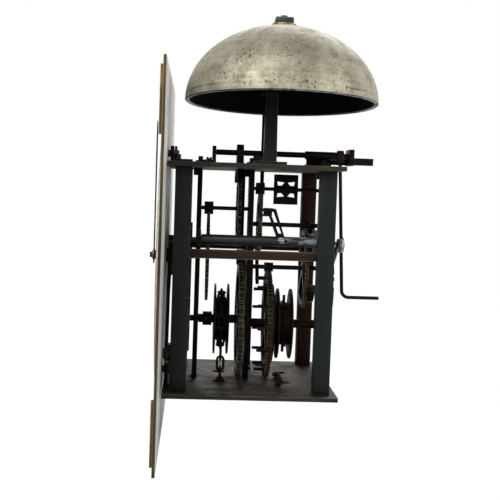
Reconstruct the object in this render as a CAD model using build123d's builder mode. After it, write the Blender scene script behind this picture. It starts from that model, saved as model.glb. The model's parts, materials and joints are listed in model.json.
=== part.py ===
from build123d import *

import os
from math import asin, cos, pi, radians, sin, sqrt

# Movement of a 30-hour longcase clock: an iron posted frame, a going and a striking train, dial and bell.
# Frame: +X to the movement's left side, the dial faces -Y, +Z up, origin under the middle of the bottom plate.
os.makedirs("parts", exist_ok=True)

# Posted frame
plate_length = 142.0
plate_depth = 117.0
plate_thickness = 3.0
post_length = 150.0
height_unit = post_length / 150
depth_unit = plate_depth / 117
post_side = 11.0
post_inset_x = 13.0
post_inset_y = 10.5
post_tenon = 6.0
rail_height = 6.0
rail_thickness = 4.0
rail_z = plate_thickness + 89.4 * height_unit
bar_width = 21.0
bar_lug = 5.0
bar_lug_width = 8.0
bar_arm_height = 17.0
front_bar_y = -37.0 * depth_unit
front_bar_thickness = 3.4
centre_bar_thickness = 3.4
rear_bar_y = 51.5 * depth_unit
rear_bar_thickness = 3.0
lever_arbor_x = 48.0
detent_z = plate_thickness + 101.5 * height_unit
hammer_z = plate_thickness + 96.0 * height_unit
arm_middle_z = plate_thickness + 98.5 * height_unit
arm_end = 4.0
wedge_length = 7.6
wedge_width = 3.0
wedge_height = 3.6
seat_hole_radius = 2.5
seat_hole_spacing = 100.0

# Running fits
pivot_radius = 1.0
journal_radius = 2.2
pivot_clearance = 0.05
pivot_depth = 1.5
end_shake = 0.15

# Going train: wheel counts, arbor heights and places along the arbors
great_teeth = 64
second_pinion_leaves = 8
second_teeth = 60
escape_pinion_leaves = 8
escape_teeth = 30
going_great_z = plate_thickness + 42.0 * height_unit
second_z = plate_thickness + 87.0 * height_unit
escape_z = plate_thickness + 121.9 * height_unit
great_wheel_y = -5.8 * depth_unit
great_wheel_thickness = 3.4
second_wheel_y = -30.0 * depth_unit
train_wheel_thickness = 2.0
escape_wheel_y = -8.8 * depth_unit
escape_tip_radius = 27.4
escape_tooth_depth = 4.2
great_arbor_radius = 3.1
train_arbor_radius = 1.6
escape_arbor_radius = 1.4
barrel_radius = 5.0
going_pulley_y = -18.8 * depth_unit
barrel_lead = 13.2
barrel_front = going_pulley_y - barrel_lead
barrel_length = 6.5
pinion_half = 3.2
leaf_overhang = 1.3
crossing_width = 3.2

# Anchor, crutch and cocks above the top plate
pallet_rise = 9.0
anchor_thickness = 5.0
anchor_drop_gap = 1.3
anchor_band = 4.8
anchor_half_angle = 50.0
anchor_hub_radius = 6.0
anchor_web = 11.0
pallet_arbor_radius = 2.0
pallet_arbor_swell = 2.9
pallet_swell_start = 38.0 * depth_unit
front_cock_gap = 9.6
front_cock_y = front_bar_y + front_cock_gap
front_cock_thickness = 2.7
front_cock_width = 17.0
front_cock_foot = 5.7
back_cock_reach = 27.0
back_cock_foot = 15.0
cock_screw_reach = 3.6
back_cock_y = 71.3 * depth_unit
back_cock_thickness = 3.4
back_cock_offset = 13.0
suspension_reach = 14.0
suspension_slot = 1.0
cock_foot_thickness = 3.0
cock_boss_radius = 4.5
screw_radius = 1.3
screw_head_radius = 2.0
screw_head_height = 2.0
crutch_radius = 1.25
crutch_y = 63.6 * depth_unit
crutch_lean = 5.0
crutch_drop = 102.0
crutch_pin_length = 27.0
crutch_bend_radius = 5.0
crutch_collet_radius = 4.2
crutch_collet_length = 4.6

# Motion work behind the dial
motion_wheel_teeth = 30
report_leaves = 6
hour_teeth = 72
motion_wheel_y = -42.0 * depth_unit
motion_wheel_thickness = 1.6
hour_wheel_y = -47.0 * depth_unit
hour_wheel_thickness = 1.5
centre_stud_radius = 2.0
minute_pipe_radius = 3.2
hour_pipe_radius = 5.0
star_points = 12
star_radius = 14.5
star_y = -56.0 * depth_unit
star_thickness = 4.4

# Striking train
strike_teeth = 78
hoop_pinion_leaves = 6
hoop_teeth = 54
warning_pinion_leaves = 6
warning_teeth = 42
fly_pinion_leaves = 7
hammer_pins = 13
strike_great_z = plate_thickness + 39.7 * height_unit
hoop_z = plate_thickness + 80.5 * height_unit
warning_z = plate_thickness + 111.3 * height_unit
fly_z = plate_thickness + 136.8 * height_unit
strike_wheel_y = 14.5 * depth_unit
pin_circle_radius = 33.4
hammer_pin_radius = 1.2
hammer_pin_length = 7.0
hoop_wheel_y = 39.6 * depth_unit
hoop_radius = 25.0
hoop_band_width = 6.0
hoop_band_thickness = 1.2
hoop_gap_angle = 50.0
warning_wheel_y = 6.5 * depth_unit
warning_pin_circle = 18.6
warning_pin_length = 4.5
warning_pin_radius = 0.8
fly_vane_y = 25.0 * depth_unit
fly_vane_width = 17.5
fly_vane_height = 21.5
fly_vane_thickness = 0.8
fly_arbor_radius = 1.3

# Count wheel behind the rear bar
count_teeth = 48
count_pinion_leaves = 8
count_wheel_y = 55.6 * depth_unit
count_wheel_thickness = 1.6
count_disc_radius = 30.6
count_notch_depth = 3.6
count_notch_width = 2.0
count_stud_radius = 2.2
count_z = plate_thickness + 70.5 * height_unit

# Chain pulleys
chain_pitch = 7.9
chain_link_width = 6.4
chain_wire = 1.8
wrapped_links = 16
hub_gap = 0.3
flange_radius = 25.3
flange_thickness = 1.2
pulley_width = 10.6
strike_pulley_y = 26.5 * depth_unit
ratchet_disc_radius = 28.4
spike_width = 2.0
chain_hole_radius = 4.9
chain_slack = 0.45
hanging_links = 4
loose_links = 5

# Striking levers
detent_radius = 3.5
detent_journal_radius = 1.35
lever_thickness = 2.4
warning_lever_gap = 5.5
warning_lever_y = warning_wheel_y + warning_lever_gap
warning_foot_y = warning_lever_y + 6.6
warning_flag_x = 20.6
warning_flag_rise = 20.0
strap_width = 2.0
lever_clearance = 0.6
hammer_arbor_radius = 3.2
hammer_y = 10.7 * depth_unit
hammer_stem_radius = 1.4
hammer_head_length = 13.0
hammer_head_radius = 5.0
hammer_head_drop = 40.6
hammer_head_reach = 56.3
hammer_travel = 12.0
spring_lead = 9.1
spring_y = hammer_y - spring_lead
check_spring_y = spring_y - 6.0
check_spring_width = 4.2
spring_width = 8.6
spring_thickness = 1.2
spring_foot = 10.0
lifting_stud_z = plate_thickness + 25.0 * height_unit
lifting_stud_radius = 2.2
lifting_y = -56.2 * depth_unit
lifting_knee = 42.0

# Bell and its stand
bell_radius = 69.0
bell_height = 55.0
bell_wall = 3.2
outer_bands = 8
inner_bands = 5
bell_y = 19.4 * depth_unit
bell_rise = 99.6
bell_tilt = 3.0
bell_stand_x = 18.0
bell_stand_y = 11.4 * depth_unit
bell_stand_width = 9.5
bell_stand_top_width = 7.7
bell_stand_thickness = 4.0
stand_foot_thickness = 3.0
stand_bend = 24.0
bell_stud_radius = 2.6
bell_nut_side = 13.0
bell_nut_height = 4.7
bell_washer_radius = 9.0
bell_washer_thickness = 1.6

# Dial
dial_side = 254.0
dial_thickness = 2.0
dial_back_y = -59.3 * depth_unit
chapter_outer_radius = 102.0
chapter_inner_radius = 74.0
chapter_thickness = 2.0
spandrel_size = 42.0
spandrel_thickness = 1.8
foot_x = 40.0
foot_radius = 2.3
upper_foot_rise = 5.6
lower_foot_rise = 11.5
bracket_width = 12.0
bracket_thickness = 2.4
bracket_reach = 15.0
taper_pin_radius = 0.9
hand_thickness = 1.0
minute_hand_length = 96.0
hour_hand_length = 68.0
dial_hole_radius = 6.2

# Tooth forms, as shares of the module (heights) and of the pitch (half widths)
wheel_addendum, wheel_dedendum = 1.0, 1.2
leaf_addendum, leaf_dedendum = 0.65, 1.25
wheel_root_share, wheel_tip_share = 0.27, 0.09
leaf_root_share, leaf_tip_share = 0.16, 0.08

# Places that follow from the sizes above
bottom_top_z = plate_thickness
top_under_z = bottom_top_z + post_length
top_z = top_under_z + plate_thickness
pallet_z = top_z + pallet_rise
bell_top_z = top_z + bell_rise
dial_centre_z = second_z
post_x = plate_length / 2 - post_inset_x
post_y = plate_depth / 2 - post_inset_y
front_bar_rear = front_bar_y + front_bar_thickness / 2
front_bar_front = front_bar_y - front_bar_thickness / 2
centre_bar_rear = centre_bar_thickness / 2
centre_bar_front = -centre_bar_thickness / 2
rear_bar_front = rear_bar_y - rear_bar_thickness / 2
rear_bar_rear = rear_bar_y + rear_bar_thickness / 2
pivot_hole_radius = pivot_radius + pivot_clearance
strike_front_y = centre_bar_rear + end_shake
going_rear_y = centre_bar_front - end_shake
going_front_y = front_bar_rear + end_shake
strike_rear_y = rear_bar_front - end_shake
link_spacing = chain_pitch - chain_slack
count_disc_front = count_wheel_y + count_wheel_thickness / 2 + 0.6
count_disc_rear = count_disc_front + count_wheel_thickness
chain_radius = wrapped_links * link_spacing / (2 * pi)
sprocket_hub_radius = chain_radius - chain_link_width / 2 - hub_gap


def facing_front(y):
    """A plane across the movement at y, drawn as seen from the dial: x to the right, z up, extruding forwards."""
    return Plane(origin=(0, y, 0), x_dir=(1, 0, 0), z_dir=(0, -1, 0))


def module_of(wheel_count, leaf_count, distance):
    """Module of a wheel and pinion whose arbors stand this far apart."""
    return 2 * distance / (wheel_count + leaf_count)


def tooth_outline(count, pitch_radius, module, leaf, first_angle):
    """Corner points of a ring of straight-sided teeth, with one tooth centred at first_angle."""
    addendum, dedendum = (leaf_addendum, leaf_dedendum) if leaf else (wheel_addendum, wheel_dedendum)
    root_share, tip_share = (leaf_root_share, leaf_tip_share) if leaf else (wheel_root_share,
                                                                            wheel_tip_share)
    root = pitch_radius - dedendum * module
    tip = pitch_radius + addendum * module
    pitch = 360 / count
    points = []
    for tooth in range(count):
        middle = first_angle + tooth * pitch
        for radius, share in ((root, -root_share), (tip, -tip_share), (tip, tip_share), (root, root_share)):
            angle = radians(middle + share * pitch)
            points.append((radius * cos(angle), radius * sin(angle)))
    return points


def spoke_window(inner, outer, angle, spoke):
    """Corners of one opening between two crossings of a wheel."""
    start = asin(spoke / 2 / inner)
    end = asin(spoke / 2 / outer)
    low, high = radians(angle), radians(angle + 90)
    middle = (low + high) / 2
    corners = [(inner, low + start), (outer, low + end), (outer, low + (middle - low) * 0.55)]
    corners += [(outer, high - (high - middle) * 0.55), (outer, high - end), (inner, high - start)]
    return [(radius * cos(turn), radius * sin(turn)) for radius, turn in corners]


def gear_wheel(y, z, count, module, thickness, bore, first_angle=90, crossed=True, rim=0.0):
    """A toothed brass wheel with four crossings, centred at y on the arbor at height z."""
    pitch_radius = module * count / 2
    with BuildPart() as wheel:
        with BuildSketch(facing_front(y + thickness / 2)):
            with Locations((0, z)):
                Polygon(*tooth_outline(count, pitch_radius, module, False, first_angle), align=None)
                Circle(bore, mode=Mode.SUBTRACT)
                if crossed:
                    inner = bore + 5.5
                    outer = pitch_radius - (rim or 2.6 * module)
                    for quarter in range(4):
                        window = spoke_window(inner, outer, quarter * 90 + 45, crossing_width)
                        Polygon(*window, align=None, mode=Mode.SUBTRACT)
        extrude(amount=thickness)
    return wheel


def rod(y_front, y_rear, z, radius, x=0.0, mode=Mode.ADD):
    """A round length of an arbor, or with Mode.SUBTRACT a hole, between two places along the movement."""
    with BuildSketch(facing_front(y_rear)) as section:
        with Locations((x, z)):
            Circle(radius)
    extrude(section.sketch, amount=y_rear - y_front, mode=mode)


def pinion(y_front, y_rear, z, count, module, first_angle):
    """The leaves of a pinion, cut in one with the arbor being built."""
    with BuildSketch(facing_front(y_rear)) as section:
        with Locations((0, z)):
            Polygon(*tooth_outline(count, module * count / 2, module, True, first_angle), align=None)
    extrude(section.sketch, amount=y_rear - y_front)


def block(x0, x1, y0, y1, z0, z1, mode=Mode.ADD):
    """A rectangular bar between two corners, joined to or cut from the part being built."""
    with BuildSketch(Plane.XY.offset(z0)) as section:
        with Locations(((x0 + x1) / 2, (y0 + y1) / 2)):
            Rectangle(x1 - x0, y1 - y0)
    extrude(section.sketch, amount=z1 - z0, mode=mode)


def upright(x, y, z0, z1, radius, mode=Mode.ADD):
    """A round pin or hole along z."""
    with BuildSketch(Plane.XY.offset(z0)) as section:
        with Locations((x, y)):
            Circle(radius)
    extrude(section.sketch, amount=z1 - z0, mode=mode)


def plate_across(y_front, y_rear, *points, mode=Mode.ADD):
    """A flat piece that lies across the movement, with the outline given as x and z."""
    with BuildSketch(facing_front(y_rear)) as section:
        Polygon(*points, align=None)
    extrude(section.sketch, amount=y_rear - y_front, mode=mode)


def strip(start, end, half_start, half_end):
    """The four corners of a tapered strip between two points of the x and z plane."""
    length = sqrt((end[0] - start[0]) ** 2 + (end[1] - start[1]) ** 2)
    side = (-(end[1] - start[1]) / length, (end[0] - start[0]) / length)
    return [
        (start[0] + side[0] * half_start, start[1] + side[1] * half_start),
        (start[0] - side[0] * half_start, start[1] - side[1] * half_start),
        (end[0] - side[0] * half_end, end[1] - side[1] * half_end),
        (end[0] + side[0] * half_end, end[1] + side[1] * half_end),
    ]


def toward(start, end, distance):
    """The point this far from start, on the way to end."""
    length = sqrt((end[0] - start[0]) ** 2 + (end[1] - start[1]) ** 2)
    return (start[0] + (end[0] - start[0]) * distance / length,
            start[1] + (end[1] - start[1]) * distance / length)


def chain_link(place):
    """One oval link of flattened wire, lying along x on the plane of its place."""
    outer_half = chain_pitch / 2 + chain_wire
    with BuildSketch(place) as section:
        Polygon(*oval(outer_half, chain_link_width / 2, chain_wire * 1.3), align=None)
        Polygon(*oval(chain_pitch / 2, chain_link_width / 2 - chain_wire, chain_wire * 0.5),
                align=None, mode=Mode.SUBTRACT)
    extrude(section.sketch, amount=chain_wire / 2, both=True)


def oval(half_length, half_width, corner):
    """An eight-cornered oval, longer along x."""
    return [
        (half_length, half_width - corner), (half_length - corner, half_width),
        (corner - half_length, half_width), (-half_length, half_width - corner),
        (-half_length, corner - half_width), (corner - half_length, -half_width),
        (half_length - corner, -half_width), (half_length, corner - half_width),
    ]


def save(builder, label):
    """Label a finished piece and write it to its own file."""
    builder.part.label = label
    export_step(builder.part, f"parts/{label}.step")
# Frame plates
bar_places = ((front_bar_y, front_bar_thickness), (0.0, centre_bar_thickness),
              (rear_bar_y, rear_bar_thickness))
post_places = [(side * post_x, end * post_y) for side in (-1, 1) for end in (-1, 1)]
slot_clearance = 0.1
screw_places = [(-5.0, front_cock_y - cock_screw_reach), (5.0, front_cock_y - cock_screw_reach),
                (-22.0, post_y - 3), (-22.0, post_y + 4)]
stand_foot_top = top_z + stand_foot_thickness
stand_bolt = (bell_stand_x, bell_stand_y - bell_stand_width / 2 - 3.6)

with BuildPart() as bottom_plate:
    block(-plate_length / 2, plate_length / 2, -plate_depth / 2, plate_depth / 2, 0, bottom_top_z)
    for x, y in post_places:
        block(x - post_tenon / 2, x + post_tenon / 2, y - post_tenon / 2, y + post_tenon / 2,
              0, bottom_top_z, mode=Mode.SUBTRACT)
    for y, thickness in bar_places:
        half, reach = thickness / 2 + slot_clearance, bar_lug_width / 2 + slot_clearance
        block(-reach, reach, y - half, y + half, 0, bottom_top_z, mode=Mode.SUBTRACT)
    for side in (-1, 1):
        for y in (going_pulley_y, strike_pulley_y):
            upright(side * chain_radius, y, 0, bottom_top_z, chain_hole_radius, mode=Mode.SUBTRACT)
        upright(side * seat_hole_spacing / 2, 0, 0, bottom_top_z, seat_hole_radius, mode=Mode.SUBTRACT)
save(bottom_plate, "bottom_plate")

slot_half_x = sqrt((escape_tip_radius + anchor_drop_gap + anchor_band) ** 2 - (top_under_z - escape_z) ** 2) + 2
slot_half_y = anchor_thickness / 2 + 0.7
hammer_rise = top_z - hammer_z
hammer_sway = hammer_rise * sin(radians(hammer_travel))
with BuildPart() as top_plate:
    block(-plate_length / 2, plate_length / 2, -plate_depth / 2, plate_depth / 2, top_under_z, top_z)
    for x, y in post_places:
        block(x - post_tenon / 2, x + post_tenon / 2, y - post_tenon / 2, y + post_tenon / 2,
              top_under_z, top_z, mode=Mode.SUBTRACT)
    for y, thickness in bar_places:
        half, reach = thickness / 2 + slot_clearance, bar_lug_width / 2 + slot_clearance
        block(-reach, reach, y - half, y + half, top_under_z, top_z, mode=Mode.SUBTRACT)
    block(-slot_half_x, slot_half_x, escape_wheel_y - slot_half_y, escape_wheel_y + slot_half_y,
          top_under_z, top_z, mode=Mode.SUBTRACT)
    block(-lever_arbor_x - hammer_stem_radius - 2.2, -lever_arbor_x + hammer_sway + hammer_stem_radius + 1,
          hammer_y - hammer_stem_radius - 1, hammer_y + hammer_stem_radius + 1,
          top_under_z, top_z, mode=Mode.SUBTRACT)
    for x, y in screw_places + [stand_bolt]:
        upright(x, y, top_under_z, top_z, screw_radius, mode=Mode.SUBTRACT)
save(top_plate, "top_plate")

# Posts are riveted through both plates on square tenons
with BuildPart() as corner_posts:
    for x, y in post_places:
        half, tenon = post_side / 2, post_tenon / 2
        block(x - half, x + half, y - half, y + half, bottom_top_z, top_under_z)
        block(x - tenon, x + tenon, y - tenon, y + tenon, 0, top_z)
save(corner_posts, "corner_posts")

with BuildPart() as side_rails:
    for side in (-1, 1):
        middle, end = side * post_x, post_y - post_side / 2
        block(middle - rail_thickness / 2, middle + rail_thickness / 2, -end, end, rail_z,
              rail_z + rail_height)
save(side_rails, "side_rails")


# Bars that carry the pivots, held by a tab through each plate and a wedge above
def bar_body(y, thickness, with_arms):
    """An upright bar with its tabs and lug, and with side arms for the lever arbors where it has them."""
    front, rear = y - thickness / 2, y + thickness / 2
    block(-bar_width / 2, bar_width / 2, front, rear, bottom_top_z, top_under_z)
    block(-bar_lug_width / 2, bar_lug_width / 2, front, rear, 0, top_z + wedge_height + 2)
    block(-bar_lug_width / 2, bar_lug_width / 2, front - 3, front, top_under_z - bar_lug, top_under_z)
    if with_arms:
        end = lever_arbor_x + arm_end
        block(-end, end, front, rear, arm_middle_z - bar_arm_height / 2, arm_middle_z + bar_arm_height / 2)
    block(-wedge_width / 2, wedge_width / 2, front, rear, top_z, top_z + wedge_height, mode=Mode.SUBTRACT)


with BuildPart() as front_bar:
    bar_body(front_bar_y, front_bar_thickness, True)
    rod(front_bar_front, front_bar_rear, going_great_z, journal_radius + pivot_clearance,
        mode=Mode.SUBTRACT)
    rod(front_bar_front, front_bar_rear, detent_z, detent_journal_radius + pivot_clearance, lever_arbor_x,
        mode=Mode.SUBTRACT)
    rod(front_bar_front, front_bar_front + pivot_depth, second_z, centre_stud_radius, mode=Mode.SUBTRACT)
    for x, z in ((0, second_z), (0, escape_z), (-lever_arbor_x, hammer_z)):
        rod(front_bar_rear - pivot_depth, front_bar_rear, z, pivot_hole_radius, x, mode=Mode.SUBTRACT)
save(front_bar, "front_bar")

with BuildPart() as centre_bar:
    bar_body(0, centre_bar_thickness, False)
    for z in (going_great_z, second_z, escape_z):
        rod(centre_bar_front, centre_bar_front + pivot_depth, z, pivot_hole_radius, mode=Mode.SUBTRACT)
    for z in (strike_great_z, hoop_z, warning_z, fly_z):
        rod(centre_bar_rear - pivot_depth, centre_bar_rear, z, pivot_hole_radius, mode=Mode.SUBTRACT)
save(centre_bar, "centre_bar")

with BuildPart() as rear_bar:
    bar_body(rear_bar_y, rear_bar_thickness, True)
    rod(rear_bar_front, rear_bar_rear, strike_great_z, journal_radius + pivot_clearance, mode=Mode.SUBTRACT)
    rod(rear_bar_front, rear_bar_rear, detent_z, detent_journal_radius + pivot_clearance, lever_arbor_x,
        mode=Mode.SUBTRACT)
    rod(rear_bar_rear, count_disc_rear + 2.4, count_z, count_stud_radius)
    rod(count_disc_rear + 0.3, count_disc_rear + 1.7, count_z, count_stud_radius + 1.6)
    for x, z in ((0, hoop_z), (0, warning_z), (0, fly_z), (-lever_arbor_x, hammer_z)):
        rod(rear_bar_front, rear_bar_front + pivot_depth, z, pivot_hole_radius, x, mode=Mode.SUBTRACT)
save(rear_bar, "rear_bar")

with BuildPart() as bar_wedges:
    for y, thickness in bar_places:
        with BuildSketch(Plane.YZ.offset(-wedge_width / 2)) as section:
            Polygon((y - wedge_length / 2, top_z), (y + wedge_length / 2, top_z),
                    (y + wedge_length / 2, top_z + wedge_height),
                    (y - wedge_length / 2, top_z + wedge_height * 0.7),
                    align=None)
        extrude(section.sketch, amount=wedge_width)
save(bar_wedges, "bar_wedges")

# Cocks that carry the pallet arbor above the top plate
front_cock_front = front_cock_y - front_cock_thickness / 2
front_cock_rear = front_cock_y + front_cock_thickness / 2
cock_foot_top = top_z + cock_foot_thickness
with BuildPart() as front_cock:
    half = front_cock_width / 2
    block(-half, half, front_cock_y - front_cock_foot, front_cock_rear, top_z, cock_foot_top)
    with BuildSketch(facing_front(front_cock_rear)) as upright_face:
        Polygon((-half * 0.7, top_z), (half * 0.7, top_z), (cock_boss_radius, pallet_z),
                (-cock_boss_radius, pallet_z), align=None)
        with Locations((0, pallet_z)):
            Circle(cock_boss_radius)
    extrude(upright_face.sketch, amount=front_cock_thickness)
    rod(front_cock_front, front_cock_rear, pallet_z, pivot_hole_radius, mode=Mode.SUBTRACT)
    for x, y in screw_places[:2]:
        upright(x, y, top_z, cock_foot_top, screw_radius, mode=Mode.SUBTRACT)
save(front_cock, "front_cock")

back_cock_front = back_cock_y - back_cock_thickness / 2
back_cock_rear = back_cock_y + back_cock_thickness / 2
with BuildPart() as back_cock:
    arm_in, arm_out = -back_cock_offset + 2.5, -back_cock_offset - 2.5
    block(-back_cock_reach, arm_in, post_y - back_cock_foot / 2, plate_depth / 2, top_z, cock_foot_top)
    block(arm_out, arm_in, post_y - back_cock_foot / 2, back_cock_rear, cock_foot_top, pallet_z + 1.5)
    block(arm_out, cock_boss_radius + 1, back_cock_front, back_cock_rear, pallet_z - 6.5, pallet_z + 5)
    block(-4, 4, back_cock_rear, back_cock_rear + suspension_reach, pallet_z - 6, pallet_z - 1)
    block(-suspension_slot / 2, suspension_slot / 2, back_cock_rear + suspension_reach * 0.45,
          back_cock_rear + suspension_reach, pallet_z - 6, pallet_z - 1, mode=Mode.SUBTRACT)
    rod(back_cock_front, back_cock_rear, pallet_z, pivot_hole_radius, mode=Mode.SUBTRACT)
    for x, y in screw_places[2:]:
        upright(x, y, top_z, cock_foot_top, screw_radius, mode=Mode.SUBTRACT)
save(back_cock, "back_cock")

with BuildPart() as top_plate_screws:
    x, y = stand_bolt
    upright(x, y, top_under_z, stand_foot_top + 4.6, screw_radius)
    block(x - 3.2, x + 3.2, y - 3.2, y + 3.2, stand_foot_top, stand_foot_top + 3.4)
    for x, y in screw_places:
        upright(x, y, top_under_z, cock_foot_top, screw_radius)
        upright(x, y, cock_foot_top, cock_foot_top + screw_head_height, screw_head_radius)
        block(x - screw_head_radius, x + screw_head_radius, y - 0.4, y + 0.4,
              cock_foot_top + screw_head_height - 0.8, cock_foot_top + screw_head_height,
              mode=Mode.SUBTRACT)
save(top_plate_screws, "top_plate_screws")

# Bell stand, bell and its fixings, on an axis that leans a little to one side
lean = radians(bell_tilt)
bell_side = (cos(lean), 0, sin(lean))
bell_axis = (-sin(lean), 0, cos(lean))
bell_centre = (0, bell_y, bell_top_z)


def across_bell(height):
    """A plane square to the bell's axis, this far above its crown."""
    origin = (bell_centre[0] + height * bell_axis[0], bell_y, bell_top_z + height * bell_axis[2])
    return Plane(origin=origin, x_dir=bell_side, z_dir=bell_axis)


def dome(radius, height, drop, bands):
    """Corner points of a half-oval dome in straight bands, from near its crown to its rim."""
    angles = [pi / 2 * band / bands for band in range(2, bands + 1)]
    return [(radius * sin(angle), -drop - height * (1 - cos(angle))) for angle in angles]


with BuildPart() as bell:
    hole = bell_stud_radius + 0.1
    outside = [(hole, 0), (bell_washer_radius, 0)] + dome(bell_radius, bell_height, 0, outer_bands)
    inside = [(hole, -bell_wall), (bell_washer_radius, -bell_wall)]
    inside += dome(bell_radius - bell_wall, bell_height - bell_wall, bell_wall, inner_bands)
    with BuildSketch(Plane(origin=bell_centre, x_dir=bell_side, z_dir=(0, -1, 0))):
        Polygon(*outside, *reversed(inside), align=None)
    revolve(axis=Axis(bell_centre, bell_axis))
save(bell, "bell")

stud_top = bell_washer_thickness + bell_nut_height + 1.6
stand_seat = 4.0
with BuildPart() as bell_stand:
    half_foot = bell_stand_width / 2 + 7
    block(bell_stand_x - 6, bell_stand_x + 6, bell_stand_y - half_foot, bell_stand_y + half_foot, top_z,
          stand_foot_top)
    upright(*stand_bolt, top_z, stand_foot_top, screw_radius, mode=Mode.SUBTRACT)
    with BuildSketch(Plane.XY.offset(stand_foot_top)) as low:
        with Locations((bell_stand_x, bell_stand_y)):
            Rectangle(bell_stand_thickness, bell_stand_width)
    with BuildSketch(Plane.XY.offset(bell_top_z - stand_bend)) as bend:
        with Locations((bell_stand_x, bell_stand_y)):
            Rectangle(bell_stand_thickness, bell_stand_top_width)
    loft([low.sketch, bend.sketch], ruled=True)
    with BuildSketch(Plane.XY.offset(bell_top_z - stand_bend)) as elbow:
        with Locations((bell_stand_x, bell_stand_y)):
            Rectangle(bell_stand_thickness, bell_stand_top_width)
    with BuildSketch(across_bell(-bell_wall - stand_seat / 2)) as top:
        Rectangle(bell_stand_thickness, bell_stand_top_width)
    loft([elbow.sketch, top.sketch], ruled=True)
    with BuildSketch(across_bell(-bell_wall - stand_seat)) as seat:
        Circle(bell_washer_radius - 2)
    extrude(seat.sketch, amount=stand_seat)
    with BuildSketch(across_bell(-bell_wall - stand_seat)) as stud:
        Circle(bell_stud_radius)
    extrude(stud.sketch, amount=bell_wall + stand_seat + stud_top)
save(bell_stand, "bell_stand")

with BuildPart() as bell_washer:
    with BuildSketch(across_bell(0)) as ring:
        Circle(bell_washer_radius)
        Circle(bell_stud_radius, mode=Mode.SUBTRACT)
    extrude(ring.sketch, amount=bell_washer_thickness)
save(bell_washer, "bell_washer")

with BuildPart() as bell_nut:
    with BuildSketch(across_bell(bell_washer_thickness)) as square:
        Rectangle(bell_nut_side, bell_nut_side)
        Circle(bell_stud_radius, mode=Mode.SUBTRACT)
    extrude(square.sketch, amount=bell_nut_height)
    chamfer(bell_nut.faces().sort_by(Axis.Z)[-1].outer_wire().edges(), 0.8)
save(bell_nut, "bell_nut")
# Modules that follow from the arbor heights and the counts
great_module = module_of(great_teeth, second_pinion_leaves, second_z - going_great_z)
second_module = module_of(second_teeth, escape_pinion_leaves, escape_z - second_z)
motion_module = module_of(motion_wheel_teeth, motion_wheel_teeth, second_z - going_great_z)
hour_module = module_of(hour_teeth, report_leaves, second_z - going_great_z)
strike_module = module_of(strike_teeth, hoop_pinion_leaves, hoop_z - strike_great_z)
hoop_module = module_of(hoop_teeth, warning_pinion_leaves, warning_z - hoop_z)
warning_module = module_of(warning_teeth, fly_pinion_leaves, fly_z - warning_z)
count_module = module_of(count_teeth, count_pinion_leaves, count_z - strike_great_z)


def gap_below(count):
    """Where the first tooth stands so that a gap between teeth points straight down."""
    return -90 + 180 / count


def pivoted_arbor(y_front, y_rear, z, radius, x=0.0):
    """An arbor between two bars, with a pivot at each end that enters its bar."""
    rod(y_front, y_rear, z, radius, x)
    reach = pivot_depth
    rod(y_front - reach, y_front, z, pivot_radius, x)
    rod(y_rear, y_rear + reach, z, pivot_radius, x)


# Going train
with BuildPart() as going_great_arbor:
    leaf_rear = hour_wheel_y + leaf_overhang
    leaf_front = hour_wheel_y - leaf_overhang
    rod(going_front_y, going_rear_y, going_great_z, great_arbor_radius)
    rod(going_rear_y, going_rear_y + pivot_depth, going_great_z, pivot_radius)
    rod(leaf_front, going_front_y, going_great_z, journal_radius)
    pinion(leaf_front, leaf_rear, going_great_z, report_leaves, hour_module, 90)
    rod(barrel_front, barrel_front + barrel_length, going_great_z, barrel_radius)
save(going_great_arbor, "going_great_arbor")

save(gear_wheel(great_wheel_y, going_great_z, great_teeth, great_module, great_wheel_thickness,
                great_arbor_radius), "going_great_wheel")
save(gear_wheel(motion_wheel_y, going_great_z, motion_wheel_teeth, motion_module, motion_wheel_thickness,
                journal_radius, crossed=False), "minute_driver")


def chain_pulley(y, z, bore, x=0.0):
    """A sprocket hub with spikes for every second link, between two flanges."""
    front, rear = y - pulley_width / 2, y + pulley_width / 2
    rod(front, rear, z, sprocket_hub_radius, x)
    rod(front, front + flange_thickness, z, flange_radius, x)
    rod(rear - flange_thickness, rear, z, flange_radius, x)
    with BuildSketch(facing_front(y + spike_width / 2)) as spikes:
        with Locations((x, z)):
            with PolarLocations(0, wrapped_links // 2):
                Polygon((sprocket_hub_radius - 1, -spike_width / 2),
                        (chain_radius + chain_wire, -spike_width / 5),
                        (chain_radius + chain_wire, spike_width / 5),
                        (sprocket_hub_radius - 1, spike_width / 2),
                        align=None)
    extrude(spikes.sketch, amount=spike_width)
    rod(front, rear, z, bore, x, mode=Mode.SUBTRACT)


with BuildPart() as going_pulley:
    chain_pulley(going_pulley_y, going_great_z, great_arbor_radius)
save(going_pulley, "going_pulley")

with BuildPart() as wrapped_chain:
    for link in range(wrapped_links):
        turn = 2 * pi * link / wrapped_links
        out = (cos(turn), 0, sin(turn))
        along = (-sin(turn), 0, cos(turn))
        centre = (chain_radius * out[0], going_pulley_y, going_great_z + chain_radius * out[2])
        chain_link(Plane(origin=centre, x_dir=along, z_dir=(0, 1, 0) if link % 2 else out))
save(wrapped_chain, "wrapped_chain")

with BuildPart() as second_arbor:
    pivoted_arbor(going_front_y, going_rear_y, second_z, train_arbor_radius)
    pinion(great_wheel_y - pinion_half, great_wheel_y + pinion_half, second_z, second_pinion_leaves,
           great_module,
           gap_below(second_pinion_leaves))
save(second_arbor, "second_arbor")
save(gear_wheel(second_wheel_y, second_z, second_teeth, second_module, train_wheel_thickness,
                train_arbor_radius), "second_wheel")

with BuildPart() as escape_arbor:
    pivoted_arbor(going_front_y, going_rear_y, escape_z, escape_arbor_radius)
    pinion(second_wheel_y - pinion_half, second_wheel_y + pinion_half, escape_z, escape_pinion_leaves,
           second_module, gap_below(escape_pinion_leaves))
save(escape_arbor, "escape_arbor")

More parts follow.
